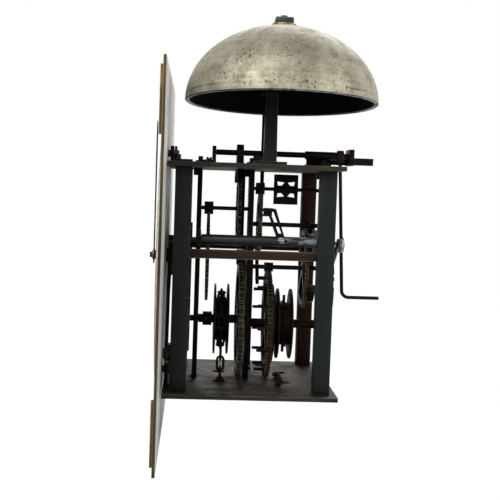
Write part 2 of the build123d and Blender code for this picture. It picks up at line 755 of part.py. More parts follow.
with BuildPart() as escape_wheel:
    root = escape_tip_radius - escape_tooth_depth
    pitch = 2 * pi / escape_teeth
    outline = []
    for tooth in range(escape_teeth):
        angle = tooth * pitch
        for radius, share in ((root, 0.0), (escape_tip_radius, 0.1), (escape_tip_radius, 0.16),
                              (root, 0.45)):
            outline.append((radius * cos(angle + share * pitch), radius * sin(angle + share * pitch)))
    with BuildSketch(facing_front(escape_wheel_y + train_wheel_thickness / 2)):
        with Locations((0, escape_z)):
            Polygon(*outline, align=None)
            Circle(escape_arbor_radius, mode=Mode.SUBTRACT)
            for quarter in range(4):
                window = spoke_window(escape_arbor_radius + 5, root - 2.6, quarter * 90 + 45,
                                      crossing_width * 0.8)
                Polygon(*window, align=None, mode=Mode.SUBTRACT)
    extrude(amount=train_wheel_thickness)
save(escape_wheel, "escape_wheel")

# Pallets and crutch
anchor_inner = escape_tip_radius + anchor_drop_gap
anchor_outer = anchor_inner + anchor_band
with BuildPart() as anchor:
    side_x, side_z = sin(radians(anchor_half_angle)), cos(radians(anchor_half_angle))
    reach = anchor_outer * 1.5
    with BuildSketch(facing_front(escape_wheel_y + anchor_thickness / 2)):
        with Locations((0, escape_z)):
            Circle(anchor_outer)
            Circle(anchor_inner, mode=Mode.SUBTRACT)
            Polygon((0, 0), (reach * side_x, reach * side_z), (0, reach * 1.6),
                    (-reach * side_x, reach * side_z),
                    align=None, mode=Mode.INTERSECT)
        with Locations((0, pallet_z)):
            Circle(anchor_hub_radius)
        Polygon((-anchor_hub_radius * 0.8, pallet_z), (anchor_hub_radius * 0.8, pallet_z),
                (anchor_web, escape_z + anchor_inner + 1.5), (-anchor_web, escape_z + anchor_inner + 1.5),
                align=None)
        with Locations((0, pallet_z)):
            Circle(pallet_arbor_radius, mode=Mode.SUBTRACT)
    extrude(amount=anchor_thickness)
save(anchor, "anchor")

with BuildPart() as pallet_arbor:
    pivoted_arbor(front_cock_rear + end_shake, back_cock_front - end_shake, pallet_z, pallet_arbor_radius)
    rod(pallet_swell_start, crutch_y - crutch_collet_length / 2, pallet_z, pallet_arbor_swell)
save(pallet_arbor, "pallet_arbor")

with BuildPart() as crutch:
    rod(crutch_y - crutch_collet_length / 2, crutch_y + crutch_collet_length / 2, pallet_z,
        crutch_collet_radius)
    start = (0, crutch_y, pallet_z - crutch_collet_radius + 0.6)
    bend = (0, crutch_y + crutch_lean, pallet_z - crutch_drop)
    tip = (0, crutch_y + crutch_lean + crutch_pin_length, pallet_z - crutch_drop)
    with BuildLine() as path:
        FilletPolyline(start, bend, tip, radius=crutch_bend_radius)
    with BuildSketch(Plane(origin=start, z_dir=path.line % 0)) as section:
        Circle(crutch_radius)
    sweep(section.sketch, path=path.line)
    rod(crutch_y - crutch_collet_length / 2, crutch_y + crutch_collet_length / 2, pallet_z,
        pallet_arbor_radius,
        mode=Mode.SUBTRACT)
save(crutch, "crutch")

# Motion work: a fixed stud carries the minute pipe, which carries the hour pipe
hand_stack = chapter_thickness + 2.0
hour_hand_rear = dial_back_y - dial_thickness - hand_stack
minute_hand_rear = hour_hand_rear - hand_thickness - 1.6
stud_front = minute_hand_rear - hand_thickness - 2.4
with BuildPart() as centre_stud:
    rod(stud_front, front_bar_front + pivot_depth, second_z, centre_stud_radius)
save(centre_stud, "centre_stud")

with BuildPart() as minute_wheel:
    wheel_front = motion_wheel_y - motion_wheel_thickness / 2
    wheel_rear = motion_wheel_y + motion_wheel_thickness / 2
    with BuildSketch(facing_front(wheel_rear)):
        with Locations((0, second_z)):
            Polygon(*tooth_outline(motion_wheel_teeth, motion_module * motion_wheel_teeth / 2,
                                   motion_module, False,
                                   gap_below(motion_wheel_teeth)), align=None)
    extrude(amount=motion_wheel_thickness)
    rod(minute_hand_rear - hand_thickness - 0.8, wheel_front, second_z, minute_pipe_radius)
    rod(minute_hand_rear - hand_thickness - 0.8, wheel_rear, second_z, centre_stud_radius + pivot_clearance,
        mode=Mode.SUBTRACT)
save(minute_wheel, "minute_wheel")

with BuildPart() as hour_wheel:
    wheel_front = hour_wheel_y - hour_wheel_thickness / 2
    wheel_rear = hour_wheel_y + hour_wheel_thickness / 2
    with BuildSketch(facing_front(wheel_rear)):
        with Locations((0, second_z)):
            Polygon(*tooth_outline(hour_teeth, hour_module * hour_teeth / 2, hour_module, False,
                                   gap_below(hour_teeth)), align=None)
            for quarter in range(4):
                window = spoke_window(hour_pipe_radius + 6, hour_module * hour_teeth / 2 - 4,
                                      quarter * 90 + 45,
                                      crossing_width * 1.5)
                Polygon(*window, align=None, mode=Mode.SUBTRACT)
    extrude(amount=hour_wheel_thickness)
    rod(hour_hand_rear - hand_thickness - 0.6, wheel_front, second_z, hour_pipe_radius)
    star = []
    for point in range(star_points):
        angle = 2 * pi * point / star_points
        for radius, share in ((star_radius * 0.68, -0.25), (star_radius, 0.0), (star_radius * 0.68, 0.25)):
            turn = angle + share * 2 * pi / star_points
            star.append((radius * cos(turn), radius * sin(turn)))
    with BuildSketch(facing_front(star_y + star_thickness / 2)) as star_face:
        with Locations((0, second_z)):
            Polygon(*star, align=None)
    extrude(star_face.sketch, amount=star_thickness)
    rod(hour_hand_rear - hand_thickness - 0.6, wheel_rear, second_z, minute_pipe_radius + pivot_clearance,
        mode=Mode.SUBTRACT)
save(hour_wheel, "hour_wheel")


def clock_hand(rear, length, bore, width, angle):
    """A tapered hand with a leaf near its tip, turned clockwise from twelve."""
    with BuildPart() as hand:
        with BuildSketch(facing_front(rear)):
            with Locations(Location((0, second_z, 0), (0, 0, -angle))):
                Polygon((-width / 2, 0), (width / 2, 0), (width * 0.35, length * 0.62),
                        (width, length * 0.75),
                        (0, length), (-width, length * 0.75), (-width * 0.35, length * 0.62), align=None)
                Circle(bore + 3)
                Circle(bore, mode=Mode.SUBTRACT)
        extrude(amount=hand_thickness)
    return hand


save(clock_hand(hour_hand_rear, hour_hand_length, hour_pipe_radius, 4.5, 300), "hour_hand")
save(clock_hand(minute_hand_rear, minute_hand_length, minute_pipe_radius, 3.6, 0), "minute_hand")

# Striking train
with BuildPart() as strike_great_arbor:
    rod(strike_front_y, strike_rear_y, strike_great_z, great_arbor_radius)
    rod(strike_front_y - pivot_depth, strike_front_y, strike_great_z, pivot_radius)
    rod(strike_rear_y, count_wheel_y + pinion_half * 0.4, strike_great_z, journal_radius)
    pinion(count_wheel_y - pinion_half * 0.4, count_wheel_y + pinion_half * 0.4, strike_great_z,
           count_pinion_leaves, count_module, 90)
save(strike_great_arbor, "strike_great_arbor")

strike_rim = strike_module * strike_teeth / 2 - pin_circle_radius + hammer_pin_radius + 1
save(gear_wheel(strike_wheel_y, strike_great_z, strike_teeth, strike_module, great_wheel_thickness,
                great_arbor_radius, rim=strike_rim), "strike_great_wheel")

with BuildPart() as hammer_pin_set:
    wheel_face = strike_wheel_y - great_wheel_thickness / 2
    with BuildSketch(facing_front(wheel_face)):
        with Locations((0, strike_great_z)):
            with PolarLocations(pin_circle_radius, hammer_pins):
                RegularPolygon(hammer_pin_radius, 8)
    extrude(amount=hammer_pin_length)
save(hammer_pin_set, "hammer_pins")

with BuildPart() as strike_pulley:
    chain_pulley(strike_pulley_y, strike_great_z, great_arbor_radius + pivot_clearance)
    disc_front = strike_wheel_y + great_wheel_thickness / 2 + 0.6
    pulley_front = strike_pulley_y - pulley_width / 2
    rod(disc_front, disc_front + 1.6, strike_great_z, ratchet_disc_radius)
    rod(disc_front + 1.6, pulley_front, strike_great_z, sprocket_hub_radius)
    rod(disc_front, pulley_front, strike_great_z, great_arbor_radius + pivot_clearance, mode=Mode.SUBTRACT)
save(strike_pulley, "strike_pulley")

with BuildPart() as hoop_arbor:
    pivoted_arbor(strike_front_y, strike_rear_y, hoop_z, train_arbor_radius)
    pinion(strike_wheel_y - pinion_half, strike_wheel_y + pinion_half, hoop_z, hoop_pinion_leaves,
           strike_module,
           gap_below(hoop_pinion_leaves))
save(hoop_arbor, "hoop_arbor")
save(gear_wheel(hoop_wheel_y, hoop_z, hoop_teeth, hoop_module, train_wheel_thickness, train_arbor_radius),
     "hoop_wheel")

with BuildPart() as hoop:
    with BuildSketch(facing_front(hoop_wheel_y + train_wheel_thickness / 2 + hoop_band_width)):
        with Locations((0, hoop_z)):
            Circle(hoop_radius)
            Circle(hoop_radius - hoop_band_thickness, mode=Mode.SUBTRACT)
            half = radians(hoop_gap_angle / 2)
            Polygon((0, 0), (2 * hoop_radius * cos(half), -2 * hoop_radius * sin(half)),
                    (2 * hoop_radius * cos(half), 2 * hoop_radius * sin(half)), align=None,
                    mode=Mode.SUBTRACT)
    extrude(amount=hoop_band_width)
save(hoop, "hoop")

with BuildPart() as warning_arbor:
    pivoted_arbor(strike_front_y, strike_rear_y, warning_z, train_arbor_radius)
    pinion(hoop_wheel_y - pinion_half, hoop_wheel_y + pinion_half, warning_z, warning_pinion_leaves,
           hoop_module,
           gap_below(warning_pinion_leaves))
save(warning_arbor, "warning_arbor")

warning_rim = warning_module * warning_teeth / 2 - warning_pin_circle + 1.6
with gear_wheel(warning_wheel_y, warning_z, warning_teeth, warning_module, train_wheel_thickness,
                train_arbor_radius, rim=warning_rim) as warning_wheel:
    wheel_rear = warning_wheel_y + train_wheel_thickness / 2
    rod(wheel_rear, wheel_rear + warning_pin_length, warning_z, warning_pin_radius, warning_pin_circle)
save(warning_wheel, "warning_wheel")

with BuildPart() as fly_arbor:
    pivoted_arbor(strike_front_y, strike_rear_y, fly_z, fly_arbor_radius)
    pinion(warning_wheel_y - pinion_half, warning_wheel_y + pinion_half, fly_z, fly_pinion_leaves,
           warning_module,
           gap_below(fly_pinion_leaves))
save(fly_arbor, "fly_arbor")

with BuildPart() as fly:
    tube = fly_arbor_radius + 0.9
    front, rear = fly_vane_y - fly_vane_width / 2, fly_vane_y + fly_vane_width / 2
    half_y, half_z = fly_vane_width / 2, fly_vane_height / 2
    with BuildSketch(Plane.YZ.offset(-fly_vane_thickness / 2)) as vane:
        with Locations((fly_vane_y, fly_z)):
            Rectangle(fly_vane_width, fly_vane_height)
            for across in (-1, 1):
                for up in (-1, 1):
                    Polygon((across * half_y * 0.66, up * half_z * 0.26),
                            (across * half_y * 0.72, up * half_z * 0.52),
                            (across * half_y * 0.14, up * half_z * 0.46),
                            (across * half_y * 0.36, up * half_z * 0.26),
                            align=None, mode=Mode.SUBTRACT)
    extrude(vane.sketch, amount=fly_vane_thickness)
    rod(front, rear, fly_z, tube)
    rod(front, rear, fly_z, fly_arbor_radius, mode=Mode.SUBTRACT)
save(fly, "fly")

# Count wheel: teeth inside, notched locking disc behind them
with BuildPart() as count_wheel:
    with BuildSketch(facing_front(count_disc_front)):
        with Locations((0, count_z)):
            Polygon(*tooth_outline(count_teeth, count_module * count_teeth / 2, count_module, False,
                                   gap_below(count_teeth)), align=None)
    extrude(amount=count_disc_front - count_wheel_y + count_wheel_thickness / 2)
    with BuildSketch(facing_front(count_disc_rear)) as disc:
        with Locations((0, count_z)):
            Circle(count_disc_radius)
            blows = 0
            for hour in range(1, 13):
                blows += hour
                turn = Location((0, 0, 0), (0, 0, 360 * blows / 78))
                with Locations(turn):
                    with Locations((count_disc_radius, 0)):
                        Rectangle(2 * count_notch_depth, count_notch_width, mode=Mode.SUBTRACT)
    extrude(disc.sketch, amount=count_wheel_thickness)
    rod(count_wheel_y - count_wheel_thickness, count_disc_rear, count_z,
        count_stud_radius + pivot_clearance, mode=Mode.SUBTRACT)
save(count_wheel, "count_wheel")
# Detent: one arbor with the locking, count and lifting tails, and a warning flag
detent = (lever_arbor_x, detent_z)
locking_tip = toward((0, hoop_z), detent, hoop_radius + lever_clearance)
count_tip = toward((0, count_z), detent, count_disc_radius + lever_clearance)
lift_pin = (lever_arbor_x - 12, detent_z - 3)
locking_front = hoop_wheel_y + train_wheel_thickness / 2 + 1.6
lifting_front = lifting_y - lever_thickness / 2
tail_rear = front_bar_front - 12.7
with BuildPart() as detent_arbor:
    rod(going_front_y, strike_rear_y, detent_z, detent_radius, lever_arbor_x)
    rod(tail_rear - lever_thickness, going_front_y, detent_z, detent_journal_radius, lever_arbor_x)
    rod(strike_rear_y, count_disc_rear, detent_z, detent_journal_radius, lever_arbor_x)
    plate_across(locking_front, locking_front + lever_thickness, *strip(detent, locking_tip, 3.2, 1.5))
    plate_across(count_disc_front, count_disc_rear, *strip(detent, count_tip, 3.2, 1.6))
    rod(count_disc_front, count_disc_rear, detent_z, 3.2, lever_arbor_x)
    plate_across(tail_rear - lever_thickness, tail_rear, *strip(detent, lift_pin, 2.6, 2.0))
    rod(tail_rear - lever_thickness, tail_rear, detent_z, 2.8, lever_arbor_x)
    rod(lifting_front, tail_rear, lift_pin[1], 1.0, lift_pin[0])
save(detent_arbor, "detent_arbor")

flag_z = detent_z + warning_flag_rise
flag_top = flag_z + strap_width
flag_low = flag_z - 1.6 * strap_width
tip_y = warning_lever_y - 9
with BuildPart() as warning_lever:
    half_leg = lever_thickness / 2
    saddle_z = detent_z + detent_radius - 1
    with BuildSketch(Plane.YZ.offset(lever_arbor_x - half_leg)) as strap:
        Polygon((warning_foot_y + 2.6, saddle_z), (warning_lever_y + 2.6, flag_top), (tip_y, flag_top),
                (tip_y, flag_low), (warning_lever_y - 2, flag_low), (warning_foot_y - 3, saddle_z),
                align=None)
        Polygon((warning_foot_y + 0.2, saddle_z + 3), (warning_lever_y + 1, flag_z), (tip_y + 1.6, flag_z),
                (tip_y + 1.6, flag_low + 1.4), (warning_lever_y - 0.6, flag_low + 1.4),
                (warning_foot_y - 1.8, saddle_z + 3), align=None, mode=Mode.SUBTRACT)
    extrude(strap.sketch, amount=lever_thickness)
    block(warning_flag_x, lever_arbor_x + half_leg, warning_lever_y - 2, warning_lever_y + 2, flag_z,
          flag_top)
    block(warning_flag_x, warning_flag_x + lever_thickness, warning_lever_y - 4, warning_lever_y + 2,
          flag_low, flag_top)
    rod(warning_foot_y - 4, warning_foot_y + 4, detent_z, detent_radius, lever_arbor_x, mode=Mode.SUBTRACT)
save(warning_lever, "warning_lever")

# Lifting piece on a stud in the front post, worked by the star behind the dial
lifting_stud_x = post_x
post_front = -post_y - post_side / 2
with BuildPart() as lifting_stud:
    rod(lifting_front - 1.2, post_front, lifting_stud_z, lifting_stud_radius, lifting_stud_x)
    rod(lifting_front - 1.2, lifting_front - 0.2, lifting_stud_z, lifting_stud_radius + 1.4, lifting_stud_x)
    rod(lifting_y + lever_thickness / 2 + 0.2, post_front, lifting_stud_z, lifting_stud_radius + 1.2,
        lifting_stud_x)
save(lifting_stud, "lifting_stud")

with BuildPart() as lifting_piece:
    pivot = (lifting_stud_x, lifting_stud_z)
    head = (lift_pin[0] + 1.5, lift_pin[1] - 2.6)
    knee = toward(pivot, head, lifting_knee)
    star_tip = (star_radius + 1.6, second_z - 5)
    rear = lifting_y + lever_thickness / 2
    plate_across(lifting_front, rear, *strip(pivot, head, 3.4, 1.8))
    plate_across(lifting_front, rear, *strip(knee, star_tip, 2.6, 1.2))
    rod(lifting_front, rear, lifting_stud_z, 5, lifting_stud_x)
    rod(lifting_front, rear, lifting_stud_z, lifting_stud_radius + pivot_clearance, lifting_stud_x,
        mode=Mode.SUBTRACT)
save(lifting_piece, "lifting_piece")

# Hammer
hammer_axis = (-lever_arbor_x, hammer_z)
tail_tip = toward((0, strike_great_z), hammer_axis, pin_circle_radius + hammer_pin_radius + lever_clearance)
tail_front = hammer_y - hammer_stem_radius - 2.4
with BuildPart() as hammer_arbor:
    pivoted_arbor(going_front_y, strike_rear_y, hammer_z, hammer_arbor_radius, -lever_arbor_x)
    plate_across(tail_front, tail_front + lever_thickness, *strip(hammer_axis, tail_tip, 3, 1.6))
save(hammer_arbor, "hammer_arbor")

head_z = bell_top_z - hammer_head_drop
head_face_x = -hammer_head_reach
with BuildPart() as hammer_stem:
    foot, top = (-lever_arbor_x, hammer_z), (head_face_x + hammer_head_length / 2, head_z)
    half = hammer_stem_radius
    with BuildSketch(facing_front(hammer_y + half)) as stem:
        Polygon(*strip(foot, top, half + 0.3, half), align=None)
        with Locations(foot):
            Circle(hammer_arbor_radius + 1.6)
    extrude(stem.sketch, amount=2 * half)
    rod(hammer_y - half, hammer_y + half, hammer_z, hammer_arbor_radius, -lever_arbor_x, mode=Mode.SUBTRACT)
    block(head_face_x, head_face_x + hammer_head_length, hammer_y - half, hammer_y + half,
          head_z - half, head_z + 2 * half, mode=Mode.SUBTRACT)
save(hammer_stem, "hammer_stem")

with BuildPart() as hammer_head:
    with BuildSketch(Plane.XZ.offset(-hammer_y)):
        Polygon((head_face_x, head_z), (head_face_x, head_z + hammer_head_radius * 0.4),
                (head_face_x + 4, head_z + hammer_head_radius), (head_face_x + hammer_head_length, head_z
                 + hammer_head_radius), (head_face_x + hammer_head_length, head_z), align=None)
    revolve(axis=Axis((0, hammer_y, head_z), (1, 0, 0)))
    half = hammer_stem_radius
    block(head_face_x + 1, head_face_x + hammer_head_length - 1, hammer_y - half, hammer_y + half,
          head_z - hammer_head_radius, head_z - half, mode=Mode.SUBTRACT)
save(hammer_head, "hammer_head")

# Springs: the long blade drives the hammer, the short one keeps it off the bell
with BuildPart() as hammer_springs:
    long_front, long_rear = spring_y - spring_width / 2, spring_y + spring_width / 2
    inner_x = -lever_arbor_x + hammer_arbor_radius + spring_thickness / 2 + 0.3
    foot_x0 = inner_x + 3.5
    plate_across(long_front, long_rear,
                 *strip((foot_x0, bottom_top_z + 0.8), (inner_x, hammer_z - 2), spring_thickness / 2,
                        spring_thickness / 2))
    block(foot_x0 - 0.6, foot_x0 + spring_foot, long_front, long_rear, bottom_top_z, bottom_top_z + 1.6)
    block(inner_x, inner_x + 0.8, check_spring_y - check_spring_width / 2,
          check_spring_y + check_spring_width / 2,
          hammer_z + hammer_arbor_radius + 0.8, top_under_z)
save(hammer_springs, "hammer_springs")

# Chain below the going pulley, and a short heap left on the bottom plate
wrapped_reach = sqrt((chain_radius + chain_link_width / 2) ** 2 + (chain_pitch / 2 + chain_wire) ** 2)
inner_edge = chain_radius - chain_link_width / 2
clear_z = going_great_z - sqrt((wrapped_reach + 0.4) ** 2 - inner_edge ** 2)
with BuildPart() as hanging_chain:
    for link in range(hanging_links):
        centre = (chain_radius, going_pulley_y, clear_z - chain_pitch / 2 - chain_wire - link * link_spacing)
        chain_link(Plane(origin=centre, x_dir=(0, 0, 1), z_dir=(1, 0, 0) if link % 2 else (0, 1, 0)))
save(hanging_chain, "hanging_chain")

with BuildPart() as loose_chain:
    for link in range(loose_links):
        centre = (chain_radius - 12 + link * link_spacing, strike_pulley_y - 4,
                  bottom_top_z + chain_link_width / 2)
        tilt = (0, 1, 0) if link % 2 else (0, 0, 1)
        chain_link(Plane(origin=centre, x_dir=(1, 0, 0), z_dir=tilt))
save(loose_chain, "loose_chain")
# Dial plate, chapter ring and corner ornaments
dial_front_y = dial_back_y - dial_thickness
with BuildPart() as dial_plate:
    with BuildSketch(facing_front(dial_back_y)):
        with Locations((0, dial_centre_z)):
            Rectangle(dial_side, dial_side)
            Circle(dial_hole_radius, mode=Mode.SUBTRACT)
    extrude(amount=dial_thickness)
save(dial_plate, "dial_plate")

with BuildPart() as chapter_ring:
    with BuildSketch(facing_front(dial_front_y)):
        with Locations((0, dial_centre_z)):
            Circle(chapter_outer_radius)
            Circle(chapter_inner_radius, mode=Mode.SUBTRACT)
    extrude(amount=chapter_thickness)
save(chapter_ring, "chapter_ring")

with BuildPart() as spandrels:
    edge = dial_side / 2 - 5
    for side in (-1, 1):
        for up in (-1, 1):
            with BuildSketch(facing_front(dial_front_y)) as ornament:
                Polygon(*[(side * x, dial_centre_z + up * z) for x, z in (
                    (edge, edge), (edge, edge - spandrel_size), (edge - spandrel_size * 0.28,
                     edge - spandrel_size * 0.62), (edge - spandrel_size * 0.45,
                                                    edge - spandrel_size * 0.45),
                    (edge - spandrel_size * 0.62, edge - spandrel_size * 0.28),
                    (edge - spandrel_size, edge))],
                    align=None)
                with Locations((side * (edge - spandrel_size * 0.24), dial_centre_z
                                + up * (edge - spandrel_size * 0.24))):
                    Circle(spandrel_size * 0.12, mode=Mode.SUBTRACT)
            extrude(ornament.sketch, amount=spandrel_thickness)
save(spandrels, "spandrels")

# Dial feet pass through brackets on the frame plates and are held by taper pins
upper_foot_z = top_z + upper_foot_rise
lower_foot_z = bottom_top_z + lower_foot_rise
foot_places = [(side * foot_x, z) for side in (-1, 1) for z in (lower_foot_z, upper_foot_z)]
bracket_front = -plate_depth / 2 + 1.0
bracket_rear = bracket_front + bracket_thickness
pin_y = bracket_rear + taper_pin_radius + 0.3
foot_end = pin_y + 2.2
with BuildPart() as dial_feet:
    for x, z in foot_places:
        rod(dial_back_y, foot_end, z, foot_radius, x)
        upright(x, pin_y, z - foot_radius - 1, z + foot_radius + 1, taper_pin_radius, mode=Mode.SUBTRACT)
save(dial_feet, "dial_feet")

with BuildPart() as dial_brackets:
    for x, z in foot_places:
        base = top_z if z > top_z else bottom_top_z
        half = bracket_width / 2
        block(x - half, x + half, bracket_front, bracket_rear, base, z + foot_radius + 2.6)
        block(x - half, x + half, bracket_front, bracket_front + bracket_reach, base, base + 2)
        rod(bracket_front, bracket_rear, z, foot_radius, x, mode=Mode.SUBTRACT)
save(dial_brackets, "dial_brackets")

with BuildPart() as dial_pins:
    for x, z in foot_places:
        upright(x, pin_y, z - foot_radius - 0.7, z + foot_radius + 2.6, taper_pin_radius)
save(dial_pins, "dial_pins")
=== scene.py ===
"""Finishes and finer pieces of a longcase clock movement, dressed over its fixed frame."""

from __future__ import annotations

import json
import logging
import math
from collections.abc import Callable, Mapping
from dataclasses import dataclass, field, replace
from enum import Enum
from typing import ClassVar

import bmesh
import bpy
from mathutils import Matrix, Vector

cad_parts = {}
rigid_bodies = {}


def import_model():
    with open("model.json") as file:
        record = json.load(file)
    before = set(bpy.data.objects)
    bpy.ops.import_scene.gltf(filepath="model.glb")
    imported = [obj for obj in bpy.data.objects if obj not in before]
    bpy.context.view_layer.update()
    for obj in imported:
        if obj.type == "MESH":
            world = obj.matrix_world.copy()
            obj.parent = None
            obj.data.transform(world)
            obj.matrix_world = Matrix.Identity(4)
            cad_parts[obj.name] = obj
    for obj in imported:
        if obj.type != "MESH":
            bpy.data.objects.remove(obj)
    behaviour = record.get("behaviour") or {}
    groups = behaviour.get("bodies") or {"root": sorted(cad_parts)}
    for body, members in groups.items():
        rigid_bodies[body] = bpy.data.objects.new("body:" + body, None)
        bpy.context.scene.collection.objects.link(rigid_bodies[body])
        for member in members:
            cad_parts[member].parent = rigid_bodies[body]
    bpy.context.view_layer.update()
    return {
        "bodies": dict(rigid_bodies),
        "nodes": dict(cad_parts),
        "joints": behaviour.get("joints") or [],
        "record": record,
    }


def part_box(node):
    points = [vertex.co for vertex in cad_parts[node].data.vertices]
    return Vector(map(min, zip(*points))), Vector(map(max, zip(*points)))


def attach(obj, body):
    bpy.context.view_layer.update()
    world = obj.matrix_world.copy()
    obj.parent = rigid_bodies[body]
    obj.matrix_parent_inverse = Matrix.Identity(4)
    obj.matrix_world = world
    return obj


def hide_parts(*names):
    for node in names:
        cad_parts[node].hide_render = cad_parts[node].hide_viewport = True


LOG = logging.getLogger("clock")
Colour = tuple[float, float, float]
Triple = tuple[float, float, float]
Socket = bpy.types.NodeSocket
Tree = bpy.types.NodeTree
Shape = bmesh.types.BMesh
Face = bmesh.types.BMFace
Setting = float | tuple[float, ...] | Socket

MIX_SHARE, MIX_LOW, MIX_HIGH, MIX_RESULT = 0, 6, 7, 2
"""Where Blender's mix node keeps its share, its two colours and its mixed colour."""


class Axis(Enum):
    """The direction along which a finish is drawn out."""

    NONE = (1.0, 1.0, 1.0)
    UPRIGHT = (1.0, 1.0, 0.12)
    ALONG = (1.0, 0.12, 1.0)


@dataclass(frozen=True)
class Clouds:
    """A cloudy pattern: one cloud's size in metres, its octaves and how strongly the finer ones show."""

    size: float
    detail: float = 4.0
    rough: float = 0.55


@dataclass(frozen=True)
class Ramp:
    """A change of a value from low..high to start..end, held at both ends."""

    low: float
    high: float
    start: float = 0.0
    end: float = 1.0


def rgba(colour: Colour) -> tuple[float, float, float, float]:
    """The colour with full cover."""
    return (*colour, 1.0)


def feed(tree: Tree, node: bpy.types.Node, entries: Mapping[str | int, Setting]) -> None:
    """Fill a node's inputs.

    Args:
        tree: The tree the node is in.
        node: The node.
        entries: What each input gets, a plain value or the output it is linked to.
    """
    for entry, setting in entries.items():
        if isinstance(setting, Socket):
            tree.links.new(setting, node.inputs[entry])
        else:
            node.inputs[entry].default_value = setting


def add_node(tree: Tree, kind: str, entries: Mapping[str | int, Setting] | None = None,
             operation: str = "") -> bpy.types.Node:
    """Add a shader node with its inputs filled.

    Args:
        tree: The tree it is added to.
        kind: The node's type, without the prefix that all shader nodes share.
        entries: What each input gets, or None for the values it starts with.
        operation: What a maths node does with its inputs.

    Returns:
        The new node.
    """
    node = tree.nodes.new(f"ShaderNode{kind}")
    if operation:
        node.operation = operation
    feed(tree, node, entries or {})
    return node


def fresh_tree(owner: bpy.types.Material | bpy.types.World) -> Tree:
    """Give a material or a world an empty node tree."""
    owner.use_nodes = True
    owner.node_tree.nodes.clear()
    return owner.node_tree


class Graph:
    """The node graph of one finish, read on Object coordinates."""

    def __init__(self, name: str, stretch: Triple = (1, 1, 1), centre: Triple = (0, 0, 0),
                 turn: float = 0.0) -> None:
        """Start a material with one mapped coordinate and one surface shader.

        Args:
            name: The material's name.
            stretch: Scale of the pattern along each axis.
            centre: The point that becomes the pattern's origin, in metres.
            turn: Turn of the pattern about the Y axis, in radians.
        """
        self.material = bpy.data.materials.new(name)
        self.tree = fresh_tree(self.material)
        self.shader = add_node(self.tree, "BsdfPrincipled")
        add_node(self.tree, "OutputMaterial", {"Surface": self.shader.outputs["BSDF"]})
        self.plain = add_node(self.tree, "TexCoord").outputs["Object"]
        shift = Matrix.Rotation(turn, 4, "Y") @ Vector(centre)
        mapping = add_node(self.tree, "Mapping", {
            "Vector": self.plain,
            "Location": tuple(-part * size for part, size in zip(shift, stretch)),
            "Rotation": (0.0, turn, 0.0),
            "Scale": stretch,
        })
        self.place = mapping.outputs["Vector"]

    def noise(self, clouds: Clouds, place: Socket | None = None) -> Socket:
        """A cloudy value, read at the place given or at the finish's own."""
        entries = {"Vector": place or self.place, "Scale": 1.0 / clouds.size, "Detail": clouds.detail,
                   "Roughness": clouds.rough}
        return add_node(self.tree, "TexNoise", entries).outputs["Fac"]

    def step(self, value: Socket, ramp: Ramp) -> Socket:
        """The value carried along a ramp."""
        entries = {"Value": value, "From Min": ramp.low, "From Max": ramp.high, "To Min": ramp.start,
                   "To Max": ramp.end}
        return add_node(self.tree, "MapRange", entries).outputs["Result"]

    def times(self, first: Socket, second: Socket) -> Socket:
        """The product of two values."""
        return add_node(self.tree, "Math", {0: first, 1: second}, "MULTIPLY").outputs["Value"]

    def apart(self, place: Socket) -> bpy.types.NodeOutputs:
        """The X, Y and Z of a coordinate."""
        return add_node(self.tree, "SeparateXYZ", {"Vector": place}).outputs

    def blend(self, share: Socket, low: Socket | Colour, high: Socket | Colour) -> Socket:
        """A colour between two, by share.

        Args:
            share: 0 gives low and 1 gives high.
            low: A colour or a colour socket.
            high: A colour or a colour socket.

        Returns:
            The colour's output socket.
        """
        node = add_node(self.tree, "Mix")
        node.data_type = "RGBA"
        first, last = (rgba(colour) if isinstance(colour, tuple) else colour for colour in (low, high))
        feed(self.tree, node, {MIX_SHARE: share, MIX_LOW: first, MIX_HIGH: last})
        return node.outputs[MIX_RESULT]

    def layers(self, body: Socket | Colour, over: Colour, shares: list[tuple[Socket, Ramp]]) -> Socket:
        """Lay one colour over another again and again, each time by another value's ramp."""
        for value, ramp in shares:
            body = self.blend(self.step(value, ramp), body, over)
        return body

    def bump(self, height: Socket, depth: float) -> None:
        """Raise and sink the surface by height times depth, in metres."""
        node = add_node(self.tree, "Bump", {"Strength": 1.0, "Distance": depth, "Height": height})
        feed(self.tree, self.shader, {"Normal": node.outputs["Normal"]})

    def rubbing_and_highlight_mask(self) -> Socket:
        """The mark that softened edges carry, for rubbing and for painted highlight, 0 where a piece has
        none.
        """
        node = add_node(self.tree, "Attribute")
        node.attribute_name = "wear_and_highlight"
        return node.outputs["Fac"]

    def surface(self, colour: Socket, metallic: float, roughness: Socket,
                gloss: float = 0.5) -> bpy.types.Material:
        """Hand the shader its values.

        Args:
            colour: The finished colour.
            metallic: Share of bare metal.
            roughness: The roughness in each place.
            gloss: Strength of the plain reflection.

        Returns:
            The finished material.
        """
        feed(self.tree, self.shader, {"Base Color": colour, "Metallic": metallic, "Roughness": roughness,
                                      "Specular IOR Level": gloss})
        return self.material


